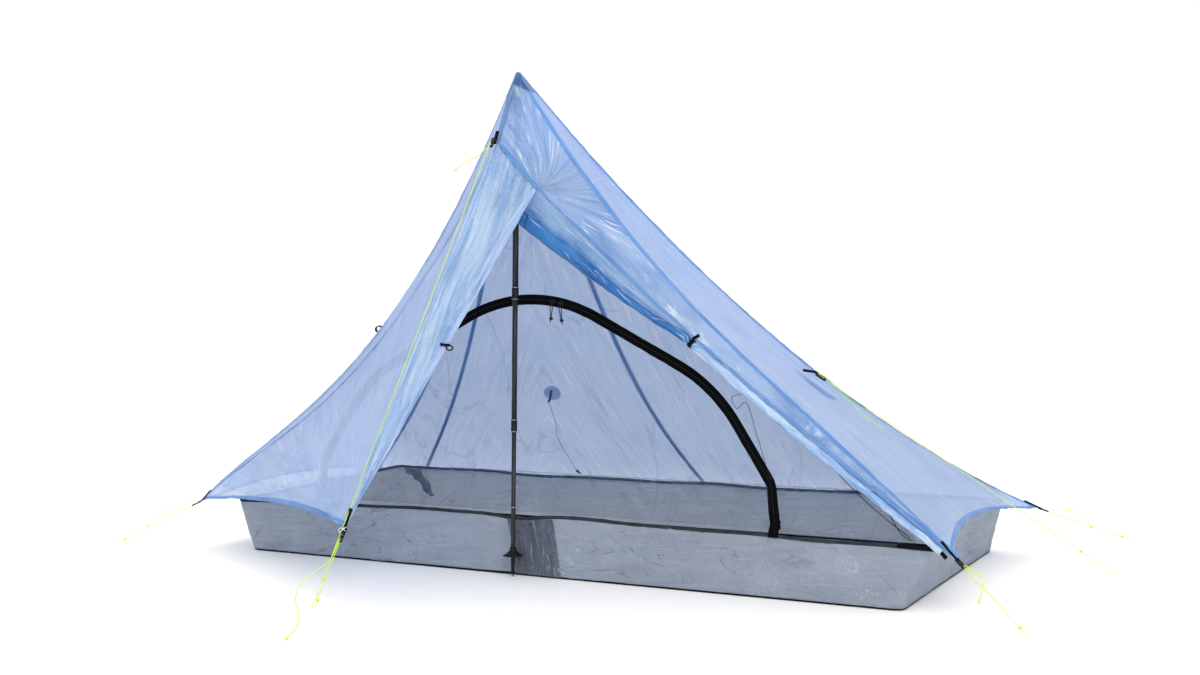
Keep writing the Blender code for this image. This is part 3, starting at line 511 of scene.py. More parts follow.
SKY, SKY_DEEP = (190, 209, 245), (146, 179, 231)
LOOKS = {look: (material, slot) for slot, looks in {
    "canopy": {
        "canopy": laminate("canopy_laminate", SKY, SKY_DEEP, 0.15, 0.42, streaks=0.2, sparkle=0.45),
        # beak, flap and edge are the canopy's laminate, tinted darker (beak) or lighter (flap, edge) as
        # painted shade and light for how light falls on them, with stronger painted streaks and glints
        "beak": laminate("beak_laminate", (176, 200, 236), (96, 142, 204), 0.12, 0.38, relief=0.7,
                         streaks=0.38, sparkle=1.0),
        "flap": laminate("flap_laminate", (202, 225, 248), (136, 180, 228), 0.12, 0.41, relief=0.9,
                         streaks=0.46, sparkle=1.0),
        "edge": laminate("edge_laminate", (200, 220, 248), (120, 164, 222), 0.05, 0.36, relief=0.6,
                         streaks=0.6, sparkle=0.8),
        "seam": laminate("seam_tape", (118, 166, 224), (72, 124, 190), 0.05, 0.3, rough=0.4, relief=0.5),
        "pale_seam": laminate("pale_seam_tape", (172, 198, 238), (138, 172, 224), 0.1, 0.38, relief=0.5),
        "inner_seam": laminate("inner_seam_tape", (110, 172, 228), (66, 128, 190), 0.02, 0.24, relief=0.3),
        "peak": laminate("peak_laminate", (118, 152, 202), (64, 102, 158), 0.05, 0.24, relief=0.8,
                         streaks=0.6, sparkle=0.8),
    },
    "door_roll": {
        "hanging": laminate("hanging_laminate", (160, 192, 226), (112, 156, 204), 0.14, 0.38, relief=0.8,
                            streaks=0.35, sparkle=0.8, band=(42, 118, 194)),
        "roll": laminate("rolled_laminate", (64, 142, 212), (24, 92, 166), 0.04, 0.3, rough=0.3,
                         relief=0.8, streaks=0.5, sparkle=0.7),
        # tight is the door's laminate tinted pale as painted sheen on the tight roll, with strong painted
        # glints
        "tight": laminate("tight_roll_laminate", (206, 228, 252), (110, 168, 228), 0.02, 0.32, rough=0.28,
                          relief=1.0, streaks=0.6, sparkle=1.0),
    },
    "floor": {
        "tub": laminate("floor_laminate", (175, 183, 194), (135, 145, 160), 0.05, 0.42, rough=0.4,
                        relief=0.6, streaks=0.14, sparkle=0.15, star=0.55),
        "patch": laminate("patch_laminate", (104, 110, 124), (58, 62, 74), 0.12, 0.2, relief=0.9,
                          streaks=0.4, sparkle=0.4, star=0.7),
    },
    "mesh": {
        "netting": netting("netting", (60, 80, 108), 0.3),
    },
    "webbing": {
        "tape": woven("zip_tape", (2, 2, 3), (8, 9, 11)),
        "coil": moulded("zip_coil", (2, 2, 3), (7, 7, 9), 0.75),
        "webbing": woven("webbing", (6, 6, 7), (22, 23, 26), rib=0.0014),
        "black_cord": braid("black_cord", (16, 17, 19), (5, 5, 6)),
    },
    "binding": {
        "binding": woven("binding_tape", (28, 31, 37), (62, 68, 76), rib=0.0016, edge=0.007),
        # hem is near-black: seam tape and painted contact shadow at the tub's foot
        "hem": woven("dark_seam_and_contact_shadow", (10, 12, 15), (28, 31, 36), rib=0.0018),
    },
    "guyline": {
        "lime": braid("lime_cord", (214, 246, 64), (150, 196, 30)),
        "white_cord": braid("white_cord", (236, 238, 240), (190, 194, 198)),
    },
    "plastic": {
        "plastic": moulded("black_plastic", (8, 8, 10), (26, 27, 30), 0.42),
        "ferrule": metal("steel_tip", (120, 122, 126), 0.3),
    },
    "carbon": {
        "carbon": carbon("carbon_tube"),
        "ring": metal("pale_ring", (216, 218, 222), 0.25),
    },
    "foam": {
        "foam": foam("grip_foam"),
    },
}.items() for look, material in looks.items()}


# Mesh helpers -------------------------------------------------------------------

def finish_piece(piece, look, body="tent", stands_for=()):
    material, slot = LOOKS[look]
    piece.data.materials.clear()
    piece.data.materials.append(material)
    if body == "door fabric":
        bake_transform(piece)
    else:
        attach(piece, body)
    if stands_for:
        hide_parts(*stands_for)
    return piece


def link(name, data):
    linked = bpy.data.objects.new(name, data)
    bpy.context.scene.collection.objects.link(linked)
    return linked


def field(points, size, seed):
    """A smooth random height from about -1 to 1 at each point, with features about size across."""
    pick = np.random.default_rng(seed)
    count = 12
    waves = pick.normal(size=(count, 3))
    waves *= (2 * math.pi / size * pick.uniform(0.6, 1.4, count) / np.linalg.norm(waves, axis=1))[:, None]
    phases = pick.uniform(0, 2 * math.pi, count)
    return np.sin(points @ waves.T + phases).sum(axis=-1) / math.sqrt(count)


def soft_step(values, low, high):
    share = np.clip((values - low) / (high - low), 0, 1)
    return share * share * (3 - 2 * share)


def normals_of(points, wrap=False):
    along = np.gradient(points, axis=0)
    if wrap:
        across = np.roll(points, -1, axis=1) - np.roll(points, 1, axis=1)
    else:
        across = np.gradient(points, axis=1)
    normal = np.cross(along, across)
    return normal / np.maximum(np.linalg.norm(normal, axis=2, keepdims=True), 1e-9)


def distance_along(points, axis):
    """How far each point is from the first, along its row or column."""
    steps = np.linalg.norm(np.diff(points, axis=axis, prepend=points.take([0], axis)), axis=2)
    return np.cumsum(steps, axis=axis)


def from_rows(name, points, wrap=False, caps=False, axes=None, grain=None):
    """A smooth mesh through an array of rows of points, with UVs in metres and along its wrinkles' grain."""
    points = np.asarray(points, float)
    rows, columns = points.shape[:2]
    index = np.arange(rows * columns).reshape(rows, columns)
    right = np.roll(index, -1, axis=1) if wrap else index[:, 1:]
    left = index if wrap else index[:, :-1]
    quads = np.stack([left[:-1], right[:-1], right[1:], left[1:]], axis=-1).reshape(-1, 4)
    faces = [tuple(int(i) for i in quad) for quad in quads]
    if caps:
        faces += [tuple(int(i) for i in index[0][::-1]), tuple(int(i) for i in index[-1])]
    mesh = bpy.data.meshes.new(name)
    mesh.from_pydata([tuple(p) for p in points.reshape(-1, 3)], [], faces)
    flow = np.stack([distance_along(points, 0), distance_along(points, 1)], axis=-1)
    uv = flow.reshape(-1, 2)
    if axes:
        uv = points.reshape(-1, 3) @ np.array([list(axes[0]), list(axes[1])]).T
    corner = np.empty(len(mesh.loops), np.int32)
    mesh.loops.foreach_get("vertex_index", corner)
    flow = (flow if grain is None else grain).reshape(-1, 2)
    for layer_name, values in (("metres", uv), ("grain", flow)):
        layer = mesh.uv_layers.new(name=layer_name)
        layer.data.foreach_set("uv", values[corner].astype(np.float32).ravel())
    mesh.uv_layers.active = mesh.uv_layers["metres"]
    mesh.uv_layers["metres"].active_render = True
    mesh.polygons.foreach_set("use_smooth", [True] * len(mesh.polygons))
    if caps:
        mesh.polygons[-1].use_smooth = mesh.polygons[-2].use_smooth = False
    mesh.update()
    return link(name, mesh)


def made(name, rows, look, body="tent", stands_for=(), **shape):
    """A finished piece from rows of points; shape goes on to from_rows."""
    return finish_piece(from_rows(name, rows, **shape), look, body, stands_for)


def grid(down, across):
    """Grain from one value for each row and one for each column."""
    return np.stack(np.meshgrid(down, across, indexing="ij"), axis=-1)


def sampled(surface, rows, columns):
    us = np.linspace(0, 1, rows + 1) if isinstance(rows, int) else rows
    vs = np.linspace(0, 1, columns + 1) if isinstance(columns, int) else columns
    return np.array([[tuple(surface(float(u), float(v))) for v in vs] for u in us])


def rippled(points, heights, wrap=False):
    return points + normals_of(points, wrap) * heights[..., None]


FINE_STEP, CORD_STEP = 0.003, 0.006  # spacing of the points along straps and cords


def smoothed_path(path, step=CORD_STEP):
    """Points a step apart along a smooth curve through the given points."""
    path = [Vector(p) for p in path]
    ends = [path[0] * 2 - path[1]] + path + [path[-1] * 2 - path[-2]]
    out = []
    for a, b, c, d in zip(ends, ends[1:], ends[2:], ends[3:]):
        count = max(2, int((c - b).length / step))
        for k in range(count):
            t = k / count
            out.append(0.5 * (2 * b + (c - a) * t + (2 * a - 5 * b + 4 * c - d) * t * t
                              + (3 * b - a - 3 * c + d) * t ** 3))
    return out + [path[-1]]


def headings(path):
    """The direction of a path at each of its points."""
    before, after = path[:1] + path[:-1], path[1:] + path[-1:]
    return [(b - a).normalized() for a, b in zip(before, after)]


def sweep(name, path, section, caps=True):
    """Sweeps a closed section, given as a function of the share of the way along, along path."""
    forward = (path[1] - path[0]).normalized()
    across = forward.orthogonal().normalized()
    rows = []
    for index, (place, turned_to) in enumerate(zip(path, headings(path))):
        across = (forward.rotation_difference(turned_to) @ across).normalized()
        forward = turned_to
        up = forward.cross(across)
        rows.append([tuple(place + across * x + up * y) for x, y in section(index / (len(path) - 1))])
    return from_rows(name, rows, wrap=True, caps=caps)


def oval(wide, high, sides=8):
    return [(wide * math.cos(a), high * math.sin(a)) for a in turns(sides)]


def round_section(radius, sides=8):
    return lambda share: oval(radius, radius, sides)


def cord(name, path, radius, look, body="tent", stands_for=(), step=CORD_STEP):
    piece = sweep(name, smoothed_path(path, step), round_section(radius))
    return finish_piece(piece, look, body, stands_for)


def knot(name, place, direction, size, look, body="tent"):
    """A small overhand knot pulled tight round its cord."""
    turn = vec(0, 0, 1).rotation_difference(Vector(direction).normalized()).to_matrix()
    path = []
    for a in turns(48, True):
        loop = vec(math.sin(a) + 2 * math.sin(2 * a), math.cos(a) - 2 * math.cos(2 * a),
                   -1.6 * math.sin(3 * a))
        path.append(Vector(place) + turn @ loop * size / 3)
    return finish_piece(sweep(name, path, round_section(size * 0.42), caps=False), look, body)


def strap(name, path, width, thickness, flat, look="webbing", body="tent", stands_for=()):
    """A flat strap along path; flat is its width's direction."""
    path = smoothed_path(path, FINE_STEP)
    rows = []
    for place, ahead in zip(path, headings(path)):
        wide = (Vector(flat) - ahead * ahead.dot(flat)).normalized()
        thick = ahead.cross(wide)
        half, deep = width / 2, thickness / 2
        section = [(-half, 0), (-half * 0.94, deep), (0, deep), (half * 0.94, deep), (half, 0),
                   (half * 0.94, -deep), (0, -deep), (-half * 0.94, -deep)]
        rows.append([tuple(place + wide * x + thick * y) for x, y in section])
    return made(name, rows, look, body, stands_for, wrap=True, caps=True)


PLATE_BEVEL = 0.0006


def plate(name, outlines, thickness, place, forward, normal, body="tent", stands_for=()):
    """A flat moulded part with holes: outlines are closed lists of (x, y), the outside one first."""
    curve = bpy.data.curves.new(name, "CURVE")
    curve.dimensions = "2D"
    curve.fill_mode = "BOTH"
    curve.extrude = thickness / 2 - PLATE_BEVEL
    curve.bevel_depth = PLATE_BEVEL
    curve.bevel_resolution = 2
    for outline in outlines:
        spline = curve.splines.new("POLY")
        spline.points.add(len(outline) - 1)
        for point, (x, y) in zip(spline.points, outline):
            point.co = (x, y, 0, 1)
        spline.use_cyclic_u = True
    shape = link(name, curve)
    mesh = bpy.data.meshes.new_from_object(shape.evaluated_get(bpy.context.evaluated_depsgraph_get()))
    bpy.data.objects.remove(shape)
    ahead = Vector(forward).normalized()
    out = (Vector(normal) - ahead * Vector(normal).dot(ahead)).normalized()
    turn = Matrix((ahead, out.cross(ahead), out)).transposed().to_4x4()
    mesh.transform(Matrix.Translation(Vector(place)) @ turn)
    mesh.name = name
    return finish_piece(link(name, mesh), "plastic", body, stands_for)


def rounded(width, height, radius, x):
    """A rounded rectangle's outline, its middle at x."""
    out = []
    for sx, sy, start in ((1, 1, 0), (-1, 1, 90), (-1, -1, 180), (1, -1, 270)):
        for k in range(6):
            a = math.radians(start + 18 * k)
            out.append((x + sx * (width / 2 - radius) + radius * math.cos(a),
                        sy * (height / 2 - radius) + radius * math.sin(a)))
    return out


def turned(name, profile, look, body="tent", stands_for=(), sides=40, lobes=0.0):
    """Turns (radius, height) points round the pole's axis."""
    widest = max(radius for radius, _ in profile)
    rows = []
    for radius, height in profile:
        reach = [radius * (1 + lobes * math.cos(5 * a) * (radius == widest)) for a in turns(sides)]
        rows.append([tuple(POLE_FRAME @ vec(r * math.cos(a), r * math.sin(a), height))
                     for r, a in zip(reach, turns(sides))])
    return made(name, rows, look, body, stands_for, wrap=True)


# Canopy -------------------------------------------------------------------------

def panel_axes(first, second):
    """Two directions in a panel's cloth: along its hem and up its slope."""
    along = (second(1.0) - first(1.0)).normalized()
    up = (PEAK - first(1.0).lerp(second(1.0), 0.5))
    return along, (up - along * up.dot(along)).normalized()


def cloth_heights(points, away, seed, billow=0.005, streaks=0.0022):
    """Soft waves over a panel, streaks that run beside its seams and a fine crumple all over."""
    calm = soft_step(away, 0.0, 0.05)
    height = billow * field(points, 0.45, seed) * calm
    beside = np.exp(-away / 0.075) * soft_step(away, 0.008, 0.024)
    wander = away / 0.026 + 0.9 * field(points, 0.5, seed + 1)
    height += streaks * beside * np.sin(2 * math.pi * wander)
    creased = 1 - np.abs(field(points, 0.1, seed + 2))
    return height + 0.0011 * creased * soft_step(away, 0.012, 0.05)


def seam_distance(points, seams):
    """How far each point is, across its row, from the nearest of the seam columns."""
    away = np.full(points.shape[:2], 9.0)
    for column in seams:
        away = np.minimum(away, np.linalg.norm(points - points[:, column:column + 1], axis=2))
    return away


def fan_from(points, centre, turn_width):
    """Grain that fans out from a point: the distance from it, and the angle round it as a length."""
    out = points - np.array(centre)
    distance = np.linalg.norm(out, axis=2)
    angle = np.arctan2(out[..., 2], out[..., 0] - 0.5 * out[..., 1])
    return np.stack([distance, angle * turn_width], axis=-1)


def fanned(points, centre, folds, reach, size, seed):
    """Wrinkles that fan out from a point where the cloth is pulled."""
    grain = fan_from(points, centre, 1.0)
    distance, angle = grain[..., 0], grain[..., 1]
    wave = np.sin(angle * folds + 1.3 * field(points, 0.4, seed)) + 0.5 * np.sin(angle * folds * 2.3 + seed)
    return size * wave * np.exp(-distance / reach) * soft_step(distance, 0.01, reach * 0.5)


def make_canopy():
    """The fixed canopy: one continuous sheet round the ridges, from the left fold to the right hem."""
    rows = np.concatenate([[0.004, 0.009, 0.016], np.linspace(0.026, 1.0, 122)])
    blocks, seams = [], [0]
    for surface, count in ((LEFT_BEAK, 7), (LEFT_END, 46), (BACK, 100), (RIGHT_END, 50), (RIGHT_BEAK, 18)):
        block = sampled(lambda u, v: surface(u, 1 - v), rows, count)
        blocks.append(block[:, 1:] if blocks else block)
        seams.append(seams[-1] + count)
    points = np.concatenate(blocks, axis=1)
    points[:, :, 2] -= 0.002 * np.exp(-rows / 0.004)[:, None]
    columns = np.arange(points.shape[1])
    seams += [seams[2] + round(100 * (1 - share)) for share in BACK_SEAMS]
    away = seam_distance(points, seams)
    heights = cloth_heights(points, away, 11)
    pulled = fanned(points, LAP, 34, 0.16, 0.0022, 5) + fanned(points, BROW, 26, 0.1, 0.0024, 6)
    pulled += 0.0012 * np.sin(2 * math.pi * (away / 0.019 + field(points, 0.22, 7)))
    heights += (columns >= seams[4]) * pulled * soft_step(away, 0.004, 0.02)
    heights *= soft_step(rows, 0.0, 0.12)[:, None]
    patch_of = np.searchsorted(np.array(seams[1:5]), columns, side="right")
    grain = np.stack([distance_along(points, 0), away + 3.7 * patch_of], axis=-1)
    grain[:, seams[4]:] = fan_from(points[:, seams[4]:], LAP, 0.3)
    return rippled(points, heights), rows, seams, grain


CANOPY, CANOPY_ROWS, SEAMS, CANOPY_GRAIN = make_canopy()
BROW_ROW = int(np.searchsorted(CANOPY_ROWS, BROW_REACH))


def second_look(piece, look, columns, start):
    """Gives the faces from the start column onwards a second material."""
    piece.data.materials.append(LOOKS[look][0])
    column = np.arange(len(piece.data.polygons)) % columns
    piece.data.polygons.foreach_set("material_index", (column >= start).astype(np.int32))


def build_canopy():
    nodes = ["canopy_back_left", "canopy_back_middle", "canopy_back_right", "canopy_left_end",
             "canopy_right_end", "beak_left", "beak_right"]
    piece = from_rows("canopy", CANOPY, grain=CANOPY_GRAIN)
    use_cloth_axes(piece.data, CANOPY.shape[1])
    finish_piece(piece, "canopy", stands_for=nodes)
    second_look(piece, "beak", CANOPY.shape[1] - 1, SEAMS[4])


def use_cloth_axes(mesh, columns):
    """Gives each panel of the canopy UVs in its own cloth's directions, so fibres run straight."""
    lines = [left_beak_edge, ridge_line("left_front"), ridge_line("left_back"), ridge_line("right_back"),
             ridge_line("right_front"), right_beak_edge]
    axes = [panel_axes(a, b) for a, b in zip(lines, lines[1:])]
    axes[0], axes[-1] = axes[1], axes[3]
    layer = mesh.uv_layers["metres"].data
    for polygon in mesh.polygons:
        column = polygon.index % (columns - 1)
        panel = sum(column >= edge for edge in SEAMS[1:5])
        along, up = axes[panel]
        for corner in polygon.loop_indices:
            place = mesh.vertices[mesh.loops[corner].vertex_index].co
            layer[corner].uv = (place.dot(along), place.dot(up))


def seam_tape(name, column, width, lift, look="seam"):
    """A doubled seam that lies on the canopy, half its width to each side of one column."""
    normals = normals_of(CANOPY)
    rows = []
    for row in range(len(CANOPY_ROWS)):
        line = []
        for side in (-1, 1):
            step = min(max(column + side, 0), CANOPY.shape[1] - 1)
            across = CANOPY[row, step] - CANOPY[row, column]
            length = max(np.linalg.norm(across), 1e-6)
            reach = min(width / 2, length * 3.5)
            for share in ((1.0, 0.45) if side < 0 else (0.45, 1.0)):
                near = reach * share
                hop = int(near // length)
                low = min(max(column + side * hop, 0), CANOPY.shape[1] - 1)
                high = min(max(low + side, 0), CANOPY.shape[1] - 1)
                part = near / length - hop
                place = CANOPY[row, low] * (1 - part) + CANOPY[row, high] * part
                line.append(place + normals[row, low] * lift * (1.35 if share < 1 else 0.9))
        middle = CANOPY[row, column] + normals[row, column] * lift * 1.5
        line.insert(2, middle)
        rows.append(line)
    points = np.array(rows)
    flip = np.sign((normals[60, column] * np.array([0.0, -0.4, 0.6])).sum()) or 1.0
    wrinkles = 0.0006 * field(points, 0.03, column) + 0.0005 * field(points, 0.012, column + 7)
    return made(name, rippled(points, wrinkles * flip), look)


def outward_sign():
    """1 if the canopy's row-and-column normals point outwards, and -1 if they point in."""
    centre = np.array([0.0, 0.45, 0.3])
    middle = CANOPY[60, SEAMS[3] + 20]
    return 1.0 if (normals_of(CANOPY)[60, SEAMS[3] + 20] * (middle - centre)).sum() > 0 else -1.0


OUT = outward_sign()


def build_seams():
    lift = 0.0012 * OUT
    seam_tape("seam_right_front", SEAMS[4], 0.03, lift)
    seam_tape("seam_right_back", SEAMS[3], 0.022, lift)
    seam_tape("seam_left_back", SEAMS[2], 0.022, lift)
    seam_tape("seam_left_front", SEAMS[1], 0.024, lift, "pale_seam")
    for name, column in (("seam_back_right", SEAMS[6]), ("seam_back_left", SEAMS[7])):
        seam_tape(name, column, 0.016, lift)
        seam_tape(name + "_inside", column, 0.014, -lift, "inner_seam")


def edge_tape(name, edge, inner, width, look="seam", body="tent", stands_for=(), thickness=0.0016,
              wobble=0.0008):
    """A folded hem: a band wrapped over a sheet's edge. inner is a second line just inside the edge."""
    section = [(width, 0.6), (width * 0.5, 1.25), (0.0015, 1.0), (-0.0016, 0.0), (0.0015, -1.0),
               (width * 0.5, -1.25), (width, -0.6)]
    rows = []
    for place, ahead, inward in directions_at(edge, inner):
        normal = ahead.cross(inward).normalized()
        rows.append([tuple(place + inward * x + normal * y * thickness) for x, y in section])
    points = np.array(rows)
    rough = field(points, 0.035, len(name)) + 0.6 * field(points, 0.013, 3)
    return made(name, rippled(points, wobble * rough), look, body, stands_for)


def directions_at(edge, inner):
    """Each place along an edge, the way the edge runs there and the way to the line inside it."""
    edge = [Vector(place) for place in edge]
    return [(place, ahead, (Vector(within) - place).normalized())
            for place, ahead, within in zip(edge, headings(edge), inner)]


def build_hems():
    """The folded hems along the canopy's lower edges and the beak's free edge."""
    for name, low, high in zip(("hem_left_end", "hem_back", "hem_right_end"), SEAMS[1:], SEAMS[2:]):
        edge_tape(name, CANOPY[-1, low:high + 1], CANOPY[-3, low:high + 1], 0.014)
    edge_tape("beak_hem", CANOPY[BROW_ROW:, -1], CANOPY[BROW_ROW:, -3], 0.016)
    edge_tape("fold_seam", CANOPY[BROW_ROW:, 0], CANOPY[BROW_ROW:, 2], 0.009, "pale_seam")


def build_cap():
    """The stiffened peak: a doubled layer over the tip, the band to the brow and the lap's seam."""
    rows = int(np.searchsorted(CANOPY_ROWS, CAP_REACH)) + 1
    points = CANOPY[:rows] + (normals_of(CANOPY) * OUT)[:rows] * 0.0016
    made("peak_reinforcement", points, "peak", stands_for=["peak_cap"],
         grain=grid(CANOPY_ROWS[:rows] * 1.8, np.arange(points.shape[1]) * 0.0011))
    front = [Vector(p) + vec(0.0, -0.0022, 0.0006) for p in CANOPY[6:BROW_ROW + 1, 0]]
    strap("brow_band", front[::3] + [front[-1]], 0.015, 0.0012, (1, 0, 0), look="peak")
    lap = [BROW.lerp(LAP, k / 12) + vec(0.001, -0.003, 0.0) for k in range(13)]
    cord("lap_seam", lap, 0.0034, "inner_seam")


# Storm doors --------------------------------------------------------------------

def build_storm_door():
    """The closed door: one sheet from the fold line over the front crease to its free edge."""
    panel = sampled(lambda u, v: DOOR_PANEL(0.006 + 0.994 * u, v), 110, 60)

    def flap_surface(u, v):
        t = 0.006 + 0.99 * u
        point = front_crease(t).lerp(door_edge(t), v)
        point.y += 0.006 * math.sin(math.pi * v)
        return point
    flap = sampled(flap_surface, 110, 26)
    points = np.concatenate([panel, flap[:, 1:]], axis=1)
    crease, edge = 60, points.shape[1] - 1
    away = seam_distance(points, [0, crease, edge])
    heights = cloth_heights(points, away, 31, billow=0.004, streaks=0.0016)
    u = np.linspace(0, 1, len(points))[:, None]
    v = np.arange(points.shape[1])[None, :]
    width = np.linalg.norm(points[:, crease] - points[:, edge], axis=1)[:, None]
    across = (v - crease) / (edge - crease) * width
    sway = field(points, 0.3, 41) * 0.9 + field(points, 0.12, 42) * 0.35
    fine = (np.sin(2 * math.pi * (across / 0.021 + sway))
            + 0.6 * np.sin(2 * math.pi * (across / 0.0125 + 1.7 * sway)))
    heights += (v > crease) * 0.0017 * fine * soft_step(width, 0.01, 0.06) * soft_step(away, 0.0, 0.012)
    corner = np.linalg.norm(points - np.array(VESTIBULE), axis=2)
    spread = np.arctan2(points[..., 0] - VESTIBULE.x, points[..., 2] - VESTIBULE.z + 1e-6)
    pulled = 0.0022 * np.sin(spread * 26 + field(points, 0.5, 44)) * np.exp(-corner / 0.3)
    heights += pulled * soft_step(corner, 0.02, 0.1)
    slack = 0.003 * (1 - np.abs(field(points, 0.16, 45))) * (v < crease)
    heights += slack * soft_step(u, 0.55, 0.95) * soft_step(away, 0.0, 0.05)
    grain = fan_from(points, VESTIBULE, 0.45)
    grain[:, crease:, 0] = u * 1.1 + 5
    grain[:, crease:, 1] = across[:, crease:] + 0.006 * field(points[:, crease:], 0.3, 46)
    points = rippled(points, heights)
    piece = from_rows("storm_door", points, axes=panel_axes(left_fold, front_crease), grain=grain)
    finish_piece(piece, "canopy", "door fabric", ["storm_door_panel", "storm_door_flap"])
    second_look(piece, "flap", edge, crease)
    build_door_edges(points, crease, edge)


def build_door_edges(points, crease, edge):
    """The free edge's layered hem, the crease's doubled fold and the lower hem."""
    section = [(0.03, 0.4), (0.0262, 3.4), (0.022, 3.8), (0.0185, 1.6), (0.015, 4.6), (0.01, 5.2),
               (0.0065, 2.4), (0.0025, 4.0), (-0.002, 2.2), (-0.001, -1.4), (0.012, -1.6)]
    rows = []
    for place, ahead, inward in directions_at(points[:, edge], points[:, edge - 3]):
        out = ahead.cross(inward).normalized()
        if out.y > 0:
            out.negate()
        narrow = min(1.0, (place - VESTIBULE).length / 0.12, 0.35 + (place - LAP).length / 0.2)
        rows.append([tuple(place + inward * x * narrow + out * y * 0.001 * narrow) for x, y in section])
    band = np.array(rows)
    band = rippled(band, 0.0007 * field(band, 0.05, 51) + 0.0004 * field(band, 0.014, 52))
    made("door_edge_hem", band, "edge", "door fabric")
    fold = [Vector(p) + vec(-0.002, -0.003, 0.0) for p in points[:, crease]]
    piece = sweep("door_crease", fold[2:-2:2], lambda share: oval(0.0045, 0.0018))
    finish_piece(piece, "flap", "door fabric")
    edge_tape("door_lower_hem", points[-1, :crease + 1], points[-3, :crease + 1], 0.014, body="door fabric")
    edge_tape("door_top_seam", points[:, 0], points[:, 3], 0.01, "pale_seam", "door fabric")


def roll_part(name, look, start, end, count, stands_for=()):
    """A length of the rolled door, from one share of the hem to another."""
    rows = []
    for level in range(count + 1):
        t = start + (end - start) * level / count
        centre, down, side, height, depth = roll_section(t)
        loose = max(0.0, 1 - t / ROLL_TIE_AT)
        squeeze = 1 - 0.3 * math.exp(-((t - ROLL_TIE_AT - 0.02) / 0.012) ** 2)
        drum = 0.58 * height * min(1.0, loose * 6)
        middle = centre + down * drum
        tall = (height - drum) * squeeze
        row = []
        for a in turns(26):
            lap, dent = max(0.0, math.sin(a * 0.5 + 0.4 + 3 * t)), math.cos(3 * a + 7 * t) > 0.6
            out = depth * squeeze * math.sin(a) * (1 + 0.1 * lap - 0.12 * dent)
            row.append(tuple(middle + down * tall * math.cos(a) + side * out))
        rows.append(row)
    points = np.array(rows)
    stretched = points @ np.array([[0.3, 0, 0], [0, 2.5, 0], [0.25, 0, 1.0]])
    wrinkle = 0.0011 * field(stretched, 0.035, 61) + 0.0006 * field(points, 0.02, 62)
    points = rippled(points, wrinkle, wrap=True)
    made(name, points, look, stands_for=stands_for, wrap=True, caps=True)


def build_roll():
    """The rolled-up door: a loose hanging fold from the lap to the tie, then a tight roll to the corner."""
    roll_part("door_roll_loose", "roll", -0.06, ROLL_TIE_AT + 0.018, 100, ["storm_door_roll"])
    roll_part("door_roll_tight", "tight", ROLL_TIE_AT + 0.019, 0.978, 150)

    def hanging(u, v):
        t = -0.058 + (ROLL_TIE_AT + 0.053) * u
        centre, down, _, height, _ = roll_section(t)
        top = right_hem(t) + vec(0.0, 0.004, 0.0)
        low = centre + down * height * 0.8
        return top.lerp(low, v) + vec(0, -0.01 * math.sin(math.pi * v) * (1 - u), 0)
    sheet = sampled(hanging, 80, 16)
    sheet = rippled(sheet, 0.0016 * field(sheet, 0.09, 63) + 0.0006 * field(sheet, 0.025, 64))
    made("door_hanging", sheet, "hanging", grain=grid(np.linspace(0, 0.6, 81), np.linspace(0, 0.1, 17)))


# Bathtub floor and netting -------------------------------------------------------

TUB_STEP = 0.013


def tub_loop(height):
    """The tub's wall at one share of its height, as an even loop with softened corners."""
    points = []
    for side, (start, end) in WALLS.items():
        count = int((tub_corner(end, 0) - tub_corner(start, 0)).length / TUB_STEP)
        points += [tuple(tub_wall(side, k / count, height)) for k in range(count)]
    points = np.array(points)
    for _ in range(4):
        flat = 0.25 * np.roll(points, 1, axis=0) + 0.5 * points + 0.25 * np.roll(points, -1, axis=0)
        points[:, :2] = flat[:, :2]
    inward = np.stack([np.clip(points[:, 0], -0.93, 1.08), np.clip(points[:, 1], 0.12, 0.82)],
                      axis=1) - points[:, :2]
    inward /= np.linalg.norm(inward, axis=1, keepdims=True)
    points[:, :2] += inward * 0.005 * max(0.0, 1 - height / 0.08) ** 2
    return points


def looped(line):
    return np.concatenate([line, line[:1]])


